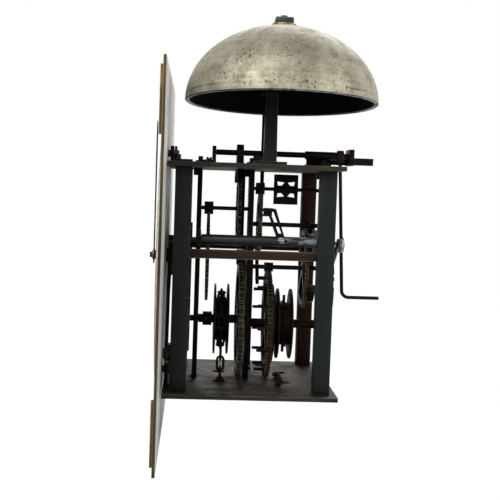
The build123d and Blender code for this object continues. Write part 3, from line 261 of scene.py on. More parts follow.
@dataclass(frozen=True)
class OldMetal:
    """An aged metal with darker clouds, rusty or tarnished patches, and lighter edges that are partly bared
    by rubbing and partly painted highlight.
    """

    shade_size: ClassVar[float] = 1.8
    shade_ramp: ClassVar[Ramp] = Ramp(0.38, 0.64)
    patch_level: ClassVar[float] = 0.66
    patch_drop: ClassVar[float] = 0.3
    patch_below: ClassVar[float] = 0.05
    patch_above: ClassVar[float] = 0.09
    patch_detail: ClassVar[float] = 8.0
    patch_rough: ClassVar[float] = 0.68
    patch_roughness: ClassVar[float] = 0.28
    speckle_ramp: ClassVar[Ramp] = Ramp(0.35, 0.7, 0.0, 0.45)
    rub_clouds: ClassVar[Clouds] = Clouds(0.006, detail=3.0)
    rub_ramp: ClassVar[Ramp] = Ramp(0.36, 0.6, 0.1, 0.9)
    stain_core: ClassVar[float] = 0.45
    stain_clouds: ClassVar[Clouds] = Clouds(0.006, detail=6.0, rough=0.65)
    stain_ramp: ClassVar[Ramp] = Ramp(0.34, 0.58)

    name: str
    colour: Colour
    shade: Colour
    patch: Colour
    patch_share: float = 0.35
    patch_size: float = 0.014
    # Lighter colour of the softened edges: partly bared metal, partly painted highlight.
    rubbed_and_highlight: Colour = (0.16, 0.15, 0.13)
    metallic: float = 0.45
    roughness: float = 0.5
    gloss: float = 0.12
    depth: float = 0.00012
    grain: Clouds = Clouds(0.0016, detail=6.0, rough=0.65)
    drawn: Axis = Axis.NONE
    stain: Colour | None = None
    stain_place: Triple = (0.0, 0.0, 0.0)
    stain_reach: float = 0.02

    def stained(self, graph: Graph, body: Socket, stain: Colour) -> Socket:
        """Add a ragged stain around one place.

        Args:
            graph: The finish being built.
            body: The colour so far.
            stain: The stain's colour.

        Returns:
            The colour with the stain.
        """
        away = add_node(graph.tree, "VectorMath", {0: graph.plain, 1: self.stain_place}, "DISTANCE")
        near = graph.step(away.outputs["Value"],
                          Ramp(self.stain_reach * self.stain_core, self.stain_reach, 1.0, 0.0))
        ragged = graph.step(graph.noise(self.stain_clouds), self.stain_ramp)
        return graph.blend(graph.times(near, ragged), body, stain)

    def material(self) -> bpy.types.Material:
        """Build the finish."""
        graph = Graph(self.name, stretch=self.drawn.value)
        shaded = graph.step(graph.noise(Clouds(self.patch_size * self.shade_size)), self.shade_ramp)
        body = graph.blend(shaded, self.colour, self.shade)
        middle = self.patch_level - self.patch_drop * self.patch_share
        patches = graph.step(graph.noise(Clouds(self.patch_size, self.patch_detail, self.patch_rough)),
                             Ramp(middle - self.patch_below, middle + self.patch_above))
        body = graph.blend(patches, body, self.patch)
        if self.stain:
            body = self.stained(graph, body, self.stain)
        grain = graph.noise(self.grain)
        body = graph.blend(graph.step(grain, self.speckle_ramp), body, self.shade)
        # Lighter softened edges: partly rubbing, partly painted highlight.
        rub_and_highlight = graph.times(graph.rubbing_and_highlight_mask(), graph.step(graph.noise(self.rub_clouds), self.rub_ramp))
        body = graph.blend(rub_and_highlight, body, self.rubbed_and_highlight)
        graph.bump(grain, self.depth)
        dullest = min(1.0, self.roughness + self.patch_roughness)
        dull = graph.step(patches, Ramp(0.0, 1.0, self.roughness, dullest))
        return graph.surface(body, self.metallic, dull, self.gloss)


@dataclass(frozen=True)
class SpunBronze:
    """A turned bell metal: rings about the bell's axis, tarnished clouds, painted shade darker towards the
    crown and small casting pits.
    """

    ring_clouds: ClassVar[Clouds] = Clouds(0.0035, detail=5.0, rough=0.7)
    ring_ramp: ClassVar[Ramp] = Ramp(0.42, 0.66, 0.0, 0.42)
    wide_clouds: ClassVar[Clouds] = Clouds(0.030, detail=5.0, rough=0.6)
    wide_ramp: ClassVar[Ramp] = Ramp(0.40, 0.68, 0.0, 0.8)
    smear_clouds: ClassVar[Clouds] = Clouds(0.009, detail=6.0, rough=0.62)
    smear_ramp: ClassVar[Ramp] = Ramp(0.50, 0.68, 0.0, 0.6)
    freckle_clouds: ClassVar[Clouds] = Clouds(0.0014, detail=3.0, rough=0.6)
    freckle_ramp: ClassVar[Ramp] = Ramp(0.50, 0.66, 0.0, 0.5)
    # Painted shade: the bronze darkens towards the crown.
    painted_crown_shade_ramp: ClassVar[Ramp] = Ramp(-0.034, -0.004, 0.0, 0.6)
    crease_clouds: ClassVar[Clouds] = Clouds(0.030, detail=3.0)
    crease_wander: ClassVar[float] = 0.007
    crease_foot: ClassVar[Ramp] = Ramp(-0.0470, -0.0464)
    crease_top: ClassVar[Ramp] = Ramp(-0.0458, -0.0452, 1.0, 0.0)
    crease_breaks: ClassVar[Ramp] = Ramp(0.46, 0.56)
    crease_cover: ClassVar[Ramp] = Ramp(0.0, 1.0, 0.0, 0.6)
    pit_clouds: ClassVar[Clouds] = Clouds(0.0017, detail=3.0, rough=0.6)
    pit_ramp: ClassVar[Ramp] = Ramp(0.59, 0.64)
    pit_groups: ClassVar[Clouds] = Clouds(0.016, detail=2.0)
    pit_group_ramp: ClassVar[Ramp] = Ramp(0.42, 0.56)
    pit_sink: ClassVar[Ramp] = Ramp(0.0, 1.0, 0.5, 0.0)
    pit_depth: ClassVar[float] = 0.0004
    smear_span: ClassVar[tuple[float, float]] = (0.3, 0.75)

    name: str
    colour: Colour
    # Colour of the tarnish, also laid on as painted shade towards the crown.
    tarnish_and_shade: Colour
    pit: Colour
    crown: Triple
    tilt: float
    metallic: float = 0.55
    roughness: float = 0.44
    smear_roughness: float = 0.22

    def rings(self, graph: Graph, parts: bpy.types.NodeOutputs) -> Socket:
        """Clouds that run around the bell's axis."""
        flat = add_node(graph.tree, "CombineXYZ", {"X": parts["X"], "Y": parts["Y"]})
        reach = add_node(graph.tree, "VectorMath", {0: flat.outputs["Vector"]}, "LENGTH")
        ring = add_node(graph.tree, "CombineXYZ", {"X": reach.outputs["Value"], "Z": parts["Z"]})
        return graph.noise(self.ring_clouds, place=ring.outputs["Vector"])

    def crease(self, graph: Graph, height: Socket, clouds: Socket) -> Socket:
        """A thin broken line that wanders around the bell above its rim."""
        wander = add_node(graph.tree, "Math", {0: graph.noise(self.crease_clouds), 1: self.crease_wander,
                                               2: height}, "MULTIPLY_ADD").outputs["Value"]
        line = graph.times(graph.step(wander, self.crease_foot), graph.step(wander, self.crease_top))
        broken = graph.times(line, graph.step(clouds, self.crease_breaks))
        return graph.step(broken, self.crease_cover)

    def material(self) -> bpy.types.Material:
        """Build the finish."""
        graph = Graph(self.name, centre=self.crown, turn=self.tilt)
        parts = graph.apart(graph.place)
        clouds = graph.noise(self.wide_clouds)
        smears = graph.noise(self.smear_clouds)
        body = graph.layers(self.colour, self.tarnish_and_shade, [
            (clouds, self.wide_ramp),
            (self.rings(graph, parts), self.ring_ramp),
            (smears, self.smear_ramp),
            (graph.noise(self.freckle_clouds), self.freckle_ramp),
            # Painted shade, darker towards the crown.
            (parts["Z"], self.painted_crown_shade_ramp),
        ])
        body = graph.blend(self.crease(graph, parts["Z"], clouds), body, self.pit)
        pits = graph.times(graph.step(graph.noise(self.pit_clouds), self.pit_ramp),
                           graph.step(graph.noise(self.pit_groups), self.pit_group_ramp))
        body = graph.blend(pits, body, self.pit)
        graph.bump(graph.step(pits, self.pit_sink), self.pit_depth)
        dullest = self.roughness + self.smear_roughness
        dull = graph.step(smears, Ramp(*self.smear_span, self.roughness, dullest))
        return graph.surface(body, self.metallic, dull)


@dataclass(frozen=True)
class Silvering:
    """A rubbed sheet with long wiping marks and brown spots."""

    wipe_clouds: ClassVar[Clouds] = Clouds(0.010, detail=7.0, rough=0.7)
    wipe_ramp: ClassVar[Ramp] = Ramp(0.38, 0.66)
    wipe_depth: ClassVar[float] = 0.00006
    wipe_span: ClassVar[tuple[float, float]] = (0.3, 0.7)
    wipe_roughness: ClassVar[float] = 0.2
    scratch_clouds: ClassVar[Clouds] = Clouds(0.0022, detail=4.0, rough=0.7)
    scratch_ramp: ClassVar[Ramp] = Ramp(0.52, 0.68, 0.0, 0.7)
    spot_clouds: ClassVar[Clouds] = Clouds(0.005, detail=6.0, rough=0.7)
    spot_ramp: ClassVar[Ramp] = Ramp(0.62, 0.74, 0.0, 0.75)
    wide_clouds: ClassVar[Clouds] = Clouds(0.05, detail=4.0)
    wide_ramp: ClassVar[Ramp] = Ramp(0.52, 0.72, 0.0, 0.55)
    rub_ramp: ClassVar[Ramp] = Ramp(0.3, 0.6, 0.4, 1.0)

    name: str
    colour: Colour
    shade: Colour
    stain: Colour
    drawn: Triple = (3.0, 3.0, 0.14)
    metallic: float = 0.30
    roughness: float = 0.42

    def material(self) -> bpy.types.Material:
        """Build the finish."""
        graph = Graph(self.name, stretch=self.drawn)
        wipes = graph.noise(self.wipe_clouds)
        spots = graph.noise(self.spot_clouds, place=graph.plain)
        body = graph.blend(graph.step(wipes, self.wipe_ramp), self.colour, self.shade)
        body = graph.layers(body, self.stain, [
            (graph.noise(self.scratch_clouds), self.scratch_ramp),
            (spots, self.spot_ramp),
            (graph.noise(self.wide_clouds, place=graph.plain), self.wide_ramp),
        ])
        body = graph.blend(graph.times(graph.rubbing_and_highlight_mask(), graph.step(spots, self.rub_ramp)), body, self.stain)
        graph.bump(wipes, self.wipe_depth)
        dullest = self.roughness + self.wipe_roughness
        dull = graph.step(wipes, Ramp(*self.wipe_span, self.roughness, dullest))
        return graph.surface(body, self.metallic, dull)


@dataclass(frozen=True)
class SolderedSteel:
    """Dark drawn steel with bright smears of solder along its rear part."""

    drawn: ClassVar[Triple] = (1.0, 0.2, 1.0)
    shade_clouds: ClassVar[Clouds] = Clouds(0.005, detail=5.0)
    shade_ramp: ClassVar[Ramp] = Ramp(0.36, 0.66)
    smear_clouds: ClassVar[Clouds] = Clouds(0.0055, detail=6.0, rough=0.7)
    smear_ramp: ClassVar[Ramp] = Ramp(0.53, 0.60)
    smear_depth: ClassVar[float] = 0.0002
    roughness_ramp: ClassVar[Ramp] = Ramp(0.0, 1.0, 0.34, 0.5)

    name: str
    colour: Colour
    shade: Colour
    solder: Colour
    start: float
    end: float
    metallic: float = 0.55
    gloss: float = 0.3

    def material(self) -> bpy.types.Material:
        """Build the finish."""
        graph = Graph(self.name, stretch=self.drawn)
        shaded = graph.step(graph.noise(self.shade_clouds), self.shade_ramp)
        body = graph.blend(shaded, self.colour, self.shade)
        reach = graph.step(graph.apart(graph.plain)["Y"], Ramp(self.start, self.end))
        cover = graph.times(reach, graph.step(graph.noise(self.smear_clouds), self.smear_ramp))
        body = graph.blend(cover, body, self.solder)
        graph.bump(cover, self.smear_depth)
        return graph.surface(body, self.metallic, graph.step(cover, self.roughness_ramp), self.gloss)


# The edge colours below are partly painted highlight: the wheel teeth's tips, the rails' top edge, the bell
# stand's edges and the plates' edges.
BLACK_IRON = OldMetal("black_iron", (0.007, 0.007, 0.006), (0.003, 0.003, 0.003), (0.018, 0.013, 0.009),
                      patch_share=0.25, rubbed_and_highlight=(0.040, 0.036, 0.032))
POST_IRON = OldMetal("post_iron", (0.016, 0.020, 0.0175), (0.011, 0.013, 0.012), (0.026, 0.024, 0.018),
                     patch_share=0.22, drawn=Axis.UPRIGHT, rubbed_and_highlight=(0.045, 0.048, 0.040), roughness=0.5)
RED_IRON = OldMetal("red_iron", (0.024, 0.009, 0.006), (0.012, 0.006, 0.004), (0.040, 0.016, 0.009),
                    patch_share=0.45, drawn=Axis.UPRIGHT, rubbed_and_highlight=(0.060, 0.034, 0.020), roughness=0.6)
STAND_IRON = OldMetal("stand_iron", (0.017, 0.018, 0.021), (0.009, 0.009, 0.011), (0.030, 0.025, 0.020),
                      patch_share=0.2, drawn=Axis.UPRIGHT, rubbed_and_highlight=(0.110, 0.115, 0.125), roughness=0.40)
PLATE_IRON = OldMetal("plate_iron", (0.034, 0.033, 0.025), (0.020, 0.0195, 0.016), (0.075, 0.048, 0.026),
                      patch_share=0.32, patch_size=0.020, rubbed_and_highlight=(0.21, 0.19, 0.13), roughness=0.55)
FLOOR_IRON = replace(PLATE_IRON, name="floor_iron", stain=(0.085, 0.036, 0.016),
                     stain_place=(0.017, 0.024, 0.003))
RAIL_IRON = OldMetal("rail_iron", (0.040, 0.025, 0.018), (0.022, 0.014, 0.010), (0.062, 0.026, 0.016),
                     patch_share=0.5, drawn=Axis.ALONG, rubbed_and_highlight=(0.26, 0.20, 0.15))
RUSTY_IRON = OldMetal("rusty_iron", (0.018, 0.011, 0.008), (0.008, 0.006, 0.005), (0.046, 0.019, 0.010),
                      patch_share=0.45, patch_size=0.006, rubbed_and_highlight=(0.065, 0.044, 0.030), roughness=0.6)
ARBOR_STEEL = OldMetal("arbor_steel", (0.020, 0.018, 0.018), (0.008, 0.007, 0.007), (0.022, 0.014, 0.010),
                       patch_share=0.3, patch_size=0.005, metallic=0.6, roughness=0.40,
                       rubbed_and_highlight=(0.10, 0.09, 0.08))
DARK_BRASS = OldMetal("dark_brass", (0.026, 0.020, 0.012), (0.008, 0.006, 0.005), (0.055, 0.039, 0.021),
                      patch_share=0.22, patch_size=0.007, metallic=0.55, roughness=0.42,
                      rubbed_and_highlight=(0.36, 0.27, 0.16))
WASHER_BRASS = OldMetal("washer_brass", (0.36, 0.25, 0.10), (0.16, 0.11, 0.05), (0.22, 0.14, 0.06),
                        patch_size=0.005, metallic=0.85, roughness=0.32, rubbed_and_highlight=(0.5, 0.36, 0.17))
FOOT_BRASS = OldMetal("foot_brass", (0.085, 0.066, 0.034), (0.040, 0.032, 0.018), (0.120, 0.085, 0.040),
                      patch_size=0.004, metallic=0.7, roughness=0.42, rubbed_and_highlight=(0.20, 0.16, 0.08))
SOLDER = OldMetal("solder", (0.30, 0.31, 0.32), (0.11, 0.11, 0.12), (0.05, 0.045, 0.04),
                  patch_share=0.25, patch_size=0.003, metallic=0.7, roughness=0.38, rubbed_and_highlight=(0.4, 0.4, 0.4))
# Near-black painted shade for the bell's inside and for the solder's pinhole.
PAINTED_SHADE_INSIDE = OldMetal("painted_shade_inside", (0.004, 0.004, 0.004), (0.002, 0.002, 0.002), (0.008, 0.007, 0.005),
                       patch_share=0.3, metallic=0.1, roughness=0.85, gloss=0.1)
RIM_METAL = OldMetal("bell_rim", (0.26, 0.25, 0.235), (0.10, 0.095, 0.085), (0.05, 0.045, 0.04),
                     patch_share=0.35, patch_size=0.010, metallic=0.8, roughness=0.34)
BLUED_STEEL = OldMetal("blued_steel", (0.020, 0.022, 0.032), (0.010, 0.011, 0.016), (0.045, 0.030, 0.022),
                       patch_share=0.15, patch_size=0.006, metallic=0.8, roughness=0.3)
NUT_IRON = replace(STAND_IRON, name="nut_iron", colour=(0.055, 0.059, 0.070), shade=(0.030, 0.032, 0.040))
ENGRAVED_WAX = OldMetal("engraved_wax", (0.012, 0.011, 0.010), (0.006, 0.006, 0.006), (0.022, 0.018, 0.014),
                        patch_share=0.2, metallic=0.0, roughness=0.7)
SILVERED_RING = Silvering("silvered_ring", (0.56, 0.55, 0.51), (0.40, 0.38, 0.34), (0.20, 0.16, 0.10),
                          drawn=(1.4, 1.4, 1.4))
# Near-white painted reflection: the back of the dial sheet, seen at a grazing angle, is coloured like the
# white room it reflects.
DIAL_SHEET_PAINTED_REFLECTION = Silvering("dial_sheet_painted_reflection", (0.84, 0.84, 0.80), (0.40, 0.39, 0.35), (0.16, 0.14, 0.10))
DIAL_FRONT = Silvering("dial_front", (0.40, 0.30, 0.15), (0.26, 0.19, 0.095), (0.12, 0.085, 0.045),
                       drawn=(1.4, 1.4, 1.4), metallic=0.75, roughness=0.5)
DIAL_EDGE = OldMetal("dial_edge", (0.085, 0.066, 0.036), (0.030, 0.024, 0.015), (0.040, 0.028, 0.017),
                     patch_size=0.010, drawn=Axis.UPRIGHT, rubbed_and_highlight=(0.26, 0.22, 0.14), metallic=0.6)
CAST_BRASS = OldMetal("cast_brass", (0.22, 0.15, 0.062), (0.09, 0.062, 0.028), (0.12, 0.075, 0.035),
                      patch_size=0.006, metallic=0.8, roughness=0.38, rubbed_and_highlight=(0.38, 0.27, 0.12), depth=0.0003)
ROLLER_STEEL = SolderedSteel("roller_steel", (0.046, 0.046, 0.052), (0.020, 0.019, 0.021), (0.34, 0.35, 0.37),
                             start=0.004, end=0.016)

Finish = OldMetal | Silvering | SpunBronze | SolderedSteel
WORN_BY: dict[Finish, tuple[str, ...]] = {
    FLOOR_IRON: ("bottom_plate",),
    PLATE_IRON: ("top_plate",),
    POST_IRON: ("corner_posts",),
    RAIL_IRON: ("side_rails",),
    STAND_IRON: ("bell_stand",),
    WASHER_BRASS: ("bell_washer",),
    NUT_IRON: ("bell_nut",),
    DIAL_SHEET_PAINTED_REFLECTION: ("dial_plate",),
    SILVERED_RING: ("chapter_ring",),
    CAST_BRASS: ("spandrels",),
    FOOT_BRASS: ("dial_feet",),
    ROLLER_STEEL: ("detent_arbor",),
    BLUED_STEEL: ("minute_hand", "hour_hand"),
    RUSTY_IRON: ("top_plate_screws", "crutch", "strike_great_arbor", "strike_pulley", "hanging_chain",
                 "loose_chain", "wrapped_chain"),
    ARBOR_STEEL: ("dial_pins", "centre_stud", "lifting_stud", "going_great_arbor", "second_arbor",
                  "escape_arbor", "hammer_pins", "hoop_arbor", "warning_arbor", "fly_arbor",
                  "hammer_arbor"),
    DARK_BRASS: ("going_great_wheel", "minute_driver", "second_wheel", "escape_wheel", "minute_wheel",
                 "hour_wheel", "strike_great_wheel", "hoop_wheel", "hoop", "warning_wheel",
                 "count_wheel"),
    BLACK_IRON: ("front_bar", "centre_bar", "rear_bar", "bar_wedges", "front_cock", "back_cock",
                 "dial_brackets", "hammer_springs", "going_pulley", "pallet_arbor", "anchor", "fly",
                 "warning_lever", "lifting_piece", "hammer_stem", "hammer_head"),
}
FINISH_OF: dict[str, Finish] = {node: finish for finish, nodes in WORN_BY.items() for node in nodes}


FACING = 0.8
"""A face of an upright sheet is its front or its back where its normal points this far along Y."""


def far_rear(face: Face) -> bool:
    """Whether a face belongs to the post at the far rear corner."""
    middle = face.calc_center_median()
    return middle.x < 0 < middle.y


def on_edge(face: Face) -> bool:
    """Whether a face belongs to the thin edge of an upright sheet."""
    return abs(face.normal.y) < FACING


def on_front(face: Face) -> bool:
    """Whether a face looks to the front."""
    return face.normal.y < -FACING


EXTRA_FINISHES: dict[str, tuple[tuple[Finish, Callable[[Face], bool]], ...]] = {
    "corner_posts": ((RED_IRON, far_rear),),
    "dial_plate": ((DIAL_EDGE, on_edge), (DIAL_FRONT, on_front)),
}


class Workshop:
    """Turns bmeshes into pieces of the movement and keeps the finishes already made.

    Attributes:
        weld: Corners of the frame's meshes nearer than this, in metres, become one.
        flat: Faces that turn by less than this are one face.
        cornered: Edges that turn by more than this are rounded.
        arc: Shape of the rounding, half for a quarter of a circle.
    """

    weld: ClassVar[float] = 2e-6
    flat: ClassVar[float] = math.radians(0.4)
    cornered: ClassVar[float] = math.radians(38)
    arc: ClassVar[float] = 0.5

    def __init__(self, frame: dict) -> None:
        """Keep the frame's nodes and find each node's body."""
        self.nodes: dict[str, bpy.types.Object] = frame["nodes"]
        bodies = frame["record"]["behaviour"]["bodies"]
        self.body_of: dict[str, str] = {node: body for body, nodes in bodies.items() for node in nodes}
        self.made: dict[str, bpy.types.Material] = {}

    def finish(self, finish: Finish) -> bpy.types.Material:
        """The finish's material, built once."""
        if finish.name not in self.made:
            self.made[finish.name] = finish.material()
        return self.made[finish.name]

    def piece(self, name: str, shape: Shape, body: str, finishes: list[Finish],
              sharp: float = 32.0) -> bpy.types.Object:
        """Make an object of a bmesh, smooth but for its sharp edges, and let it ride on a body.

        Args:
            name: The piece's name.
            shape: The mesh, which is used up.
            body: The body it moves with.
            finishes: One finish per material index.
            sharp: Edges that turn by more than this many degrees stay sharp.

        Returns:
            The new object.
        """
        for face in shape.faces:
            face.smooth = True
        for edge in shape.edges:
            edge.smooth = len(edge.link_faces) == 2 and edge.calc_face_angle(0.0) < math.radians(sharp)
        mesh = bpy.data.meshes.new(name)
        shape.to_mesh(mesh)
        shape.free()
        for finish in finishes:
            mesh.materials.append(self.finish(finish))
        made = bpy.data.objects.new(name, mesh)
        bpy.context.scene.collection.objects.link(made)
        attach(made, body)
        LOG.info("piece %s rides on %s with %d faces", name, body, len(mesh.polygons))
        return made

    def extra(self, name: str, shape: Shape, node: str, finish: Finish,
              sharp: float = 32.0) -> None:
        """Make a piece that rides with a node."""
        made = self.piece(name, shape, self.body_of[node], [finish], sharp)

    def stand_in(self, name: str, shape: Shape, node: str, finishes: list[Finish],
                 sharp: float = 32.0) -> None:
        """Make a piece that takes a node's place."""
        made = self.piece(name, shape, self.body_of[node], finishes, sharp)
        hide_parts(node)

    def dress(self, node: str) -> None:
        """Give a frame node its finish as it is."""
        part = self.nodes[node]
        part.data.materials.clear()
        part.data.materials.append(self.finish(FINISH_OF[node]))
        LOG.info("node %s wears %s", node, FINISH_OF[node].name)

    def soften(self, node: str, width: float = 0.0003, segments: int = 2) -> None:
        """Replace a node by itself with rounded edges, marked for rubbing and for painted highlight.

        Args:
            node: The node's name.
            width: Width of the rounding in metres.
            segments: Steps across the rounding.
        """
        shape = bmesh.new()
        shape.from_mesh(self.nodes[node].data)
        bmesh.ops.remove_doubles(shape, verts=shape.verts[:], dist=self.weld)
        bmesh.ops.dissolve_limit(shape, angle_limit=self.flat, verts=shape.verts[:], edges=shape.edges[:])
        # Marks the narrow rounded faces, which take the colour of rubbing and painted highlight.
        wear_and_highlight = shape.loops.layers.float_color.new("wear_and_highlight")
        hard = [edge for edge in shape.edges
                if len(edge.link_faces) == 2 and edge.calc_face_angle(0.0) > self.cornered
                and edge.calc_length() > width]
        rounded = bmesh.ops.bevel(shape, geom=hard, offset=width, offset_type="OFFSET", affect="EDGES",
                                  segments=segments, profile=self.arc, clamp_overlap=True, material=-1)
        fresh = set(rounded["faces"])
        for face in shape.faces:
            rubbed_and_highlight = face in fresh and 2 * face.calc_area() < width * face.calc_perimeter()
            for loop in face.loops:
                loop[wear_and_highlight] = rgba((float(rubbed_and_highlight),) * 3)
        finishes = [FINISH_OF[node]]
        shape.normal_update()
        for finish, belongs in EXTRA_FINISHES.get(node, ()):
            finishes.append(finish)
            for face in shape.faces:
                if belongs(face):
                    face.material_index = len(finishes) - 1
        self.stand_in(f"{node}_softened", shape, node, finishes)


TOUCHING = 1e-6
"""Corners of a turned or bent piece nearer than this, in metres, are one."""


def spin_profile(points: list[tuple[float, float]], steps: int, place: Matrix) -> Shape:
    """Turn a closed profile about its own axis.

    Args:
        points: Radius and height of each corner, in metres.
        steps: Steps around.
        place: Where the finished piece stands.

    Returns:
        The turned mesh with its faces outwards.
    """
    shape = bmesh.new()
    ring = [shape.verts.new((radius, 0.0, height)) for radius, height in points]
    edges = [shape.edges.new((first, second)) for first, second in zip(ring, ring[1:] + ring[:1])]
    bmesh.ops.spin(shape, geom=ring + edges, cent=(0, 0, 0), axis=(0, 0, 1), angle=math.tau,
                   steps=steps, use_merge=True)
    bmesh.ops.remove_doubles(shape, verts=shape.verts[:], dist=TOUCHING)
    bmesh.ops.recalc_face_normals(shape, faces=shape.faces[:])
    bmesh.ops.transform(shape, matrix=place, verts=shape.verts[:])
    return shape


@dataclass
class Bell:
    """The domed bell: a turned shell with a fine lip, painted shade inside and bright at its rim."""

    crown: Triple = (0.0, 0.0194, 0.2556)
    tilt: float = math.radians(3.0)
    radius: float = 0.069
    height: float = 0.055
    wall: float = 0.0032
    hole: float = 0.0027
    seat: float = 0.009
    lip: float = 0.0008
    rim: float = 0.0012
    bands: int = 40
    steps: int = 160
    bronze: Colour = (0.42, 0.388, 0.285)
    # Colour of the tarnish, also used for the painted shade towards the crown.
    tarnish_and_shade: Colour = (0.150, 0.132, 0.088)
    pit: Colour = (0.030, 0.026, 0.018)

    def dome(self, radius: float, height: float, drop: float) -> list[tuple[float, float]]:
        """Points of a quarter oval from the washer's seat to the rim."""
        start = math.asin(self.seat / radius)
        turns = [start + (math.pi / 2 - start) * band / self.bands for band in range(1, self.bands + 1)]
        return [(radius * math.sin(turn), -drop - height * (1 - math.cos(turn))) for turn in turns]

    def profile(self) -> list[tuple[float, float]]:
        """The closed profile: over the outside, around the lip and back through the inside."""
        inner = self.radius - self.wall
        outside = [(self.hole, 0.0), (self.seat, 0.0)] + self.dome(self.radius, self.height, 0.0)
        inside = [(self.hole, -self.wall), (self.seat, -self.wall)]
        inside += self.dome(inner, self.height - self.wall, self.wall)
        outside[-1] = (self.radius, -self.height + self.lip)
        inside[-1] = (inner, -self.height + self.lip)
        below = [(self.radius - self.lip, -self.height), (inner + self.lip, -self.height)]
        return outside + below + list(reversed(inside))

    def build(self, shop: Workshop) -> None:
        """Make the bell and let it stand for the plain one."""
        crown = Vector(self.crown)
        lean = Matrix.Rotation(-self.tilt, 4, "Y")
        shape = spin_profile(self.profile(), self.steps, Matrix.Translation(crown) @ lean)
        up = lean @ Vector((0, 0, 1))
        for face in shape.faces:
            out = face.calc_center_median() - crown
            across = out - up * out.dot(up)
            if out.dot(up) < self.rim - self.height:
                face.material_index = 2
            # Faces that look inwards take the painted shade of the inside.
            elif face.normal.dot(across) < 0 or (across.length < self.seat and face.normal.dot(up) < 0):
                face.material_index = 1
        outer = SpunBronze("bell_bronze", self.bronze, self.tarnish_and_shade, self.pit, self.crown, self.tilt)
        shop.stand_in("bell_shell", shape, "bell", [outer, PAINTED_SHADE_INSIDE, RIM_METAL])


@dataclass
class Chain:
    """Round-wire links on the pulley, below it and loose on the plate."""

    pitch: float = 0.0079
    width: float = 0.0064
    wire: float = 0.0018
    spacing: float = 0.00745
    around: int = 16
    hanging: int = 4
    loose: int = 5
    radius: float = 0.01897
    pulley: Triple = (0.0, -0.0188, 0.045)
    steps: int = 20
    sides: int = 8
    sharp: float = 60.0

    @property
    def reach(self) -> float:
        """From a link's middle to its outermost end."""
        return (self.pitch + self.wire) / 2

    def link(self, shape: Shape, centre: Vector, along: Vector, face: Vector) -> None:
        """Add one oval link of round wire.

        Args:
            shape: The mesh it is added to.
            centre: Its middle.
            along: The way of its length.
            face: The way out of its face.
        """
        half = (self.width - self.wire) / 2
        others = set(shape.verts)
        turn = Matrix.Translation((half, 0, 0)) @ Matrix.Rotation(math.pi / 2, 4, "X")
        ring = bmesh.ops.create_circle(shape, segments=self.sides, radius=self.wire / 2, matrix=turn)
        edges = list({edge for vert in ring["verts"] for edge in vert.link_edges})
        bmesh.ops.spin(shape, geom=ring["verts"] + edges, cent=(0, 0, 0), axis=(0, 0, 1), angle=math.tau,
                       steps=self.steps, use_merge=True)
        own = [vert for vert in shape.verts if vert not in others]
        for vert in own:
            if abs(vert.co.x) > TOUCHING:
                vert.co.x += math.copysign(self.reach - half, vert.co.x)
        place = Matrix((along, face.cross(along), face)).transposed().to_4x4()
        bmesh.ops.transform(shape, matrix=Matrix.Translation(centre) @ place, verts=own)

    def finish(self, shop: Workshop, shape: Shape, node: str) -> None:
        """Close the links' mesh and let it stand for a node."""
        bmesh.ops.remove_doubles(shape, verts=shape.verts[:], dist=TOUCHING)
        bmesh.ops.recalc_face_normals(shape, faces=shape.faces[:])
        shop.stand_in(f"{node}_links", shape, node, [FINISH_OF[node]], self.sharp)

    def wrap(self, shop: Workshop) -> None:
        """Make the chain around the pulley, each second link on edge."""
        shape = bmesh.new()
        axis = Vector((0, 1, 0))
        for number in range(self.around):
            turn = math.tau * number / self.around
            out = Vector((math.cos(turn), 0, math.sin(turn)))
            along = Vector((-math.sin(turn), 0, math.cos(turn)))
            self.link(shape, Vector(self.pulley) + out * self.radius, along, axis if number % 2 else out)
        self.finish(shop, shape, "wrapped_chain")

    def run(self, shop: Workshop, node: str, middles: list[Vector], along: Vector,
            faces: tuple[Vector, Vector]) -> None:
        """Make a straight piece of chain.

        Args:
            shop: Where it is made.
            node: The node it stands for.
            middles: The middle of each link.
            along: The way of the links' length.
            faces: The ways out of the first and the second link's face, which take turns.
        """
        shape = bmesh.new()
        for number, middle in enumerate(middles):
            self.link(shape, middle, along, faces[number % 2])
        self.finish(shop, shape, node)

    def build(self, shop: Workshop) -> None:
        """Make the wrapped, the hanging and the loose chain."""
        across, back, up = Vector((1, 0, 0)), Vector((0, 1, 0)), Vector((0, 0, 1))
        self.wrap(shop)
        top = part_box("hanging_chain")[1].z - self.reach
        first = Vector((self.radius, self.pulley[1], top))
        falling = [first - up * (number * self.spacing) for number in range(self.hanging)]
        self.run(shop, "hanging_chain", falling, up, (back, across))
        low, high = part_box("loose_chain")
        first = Vector((low.x + self.reach, (low.y + high.y) / 2, (low.z + high.z) / 2))
        lying = [first + across * (number * self.spacing) for number in range(self.loose)]
        self.run(shop, "loose_chain", lying, across, (up, back))


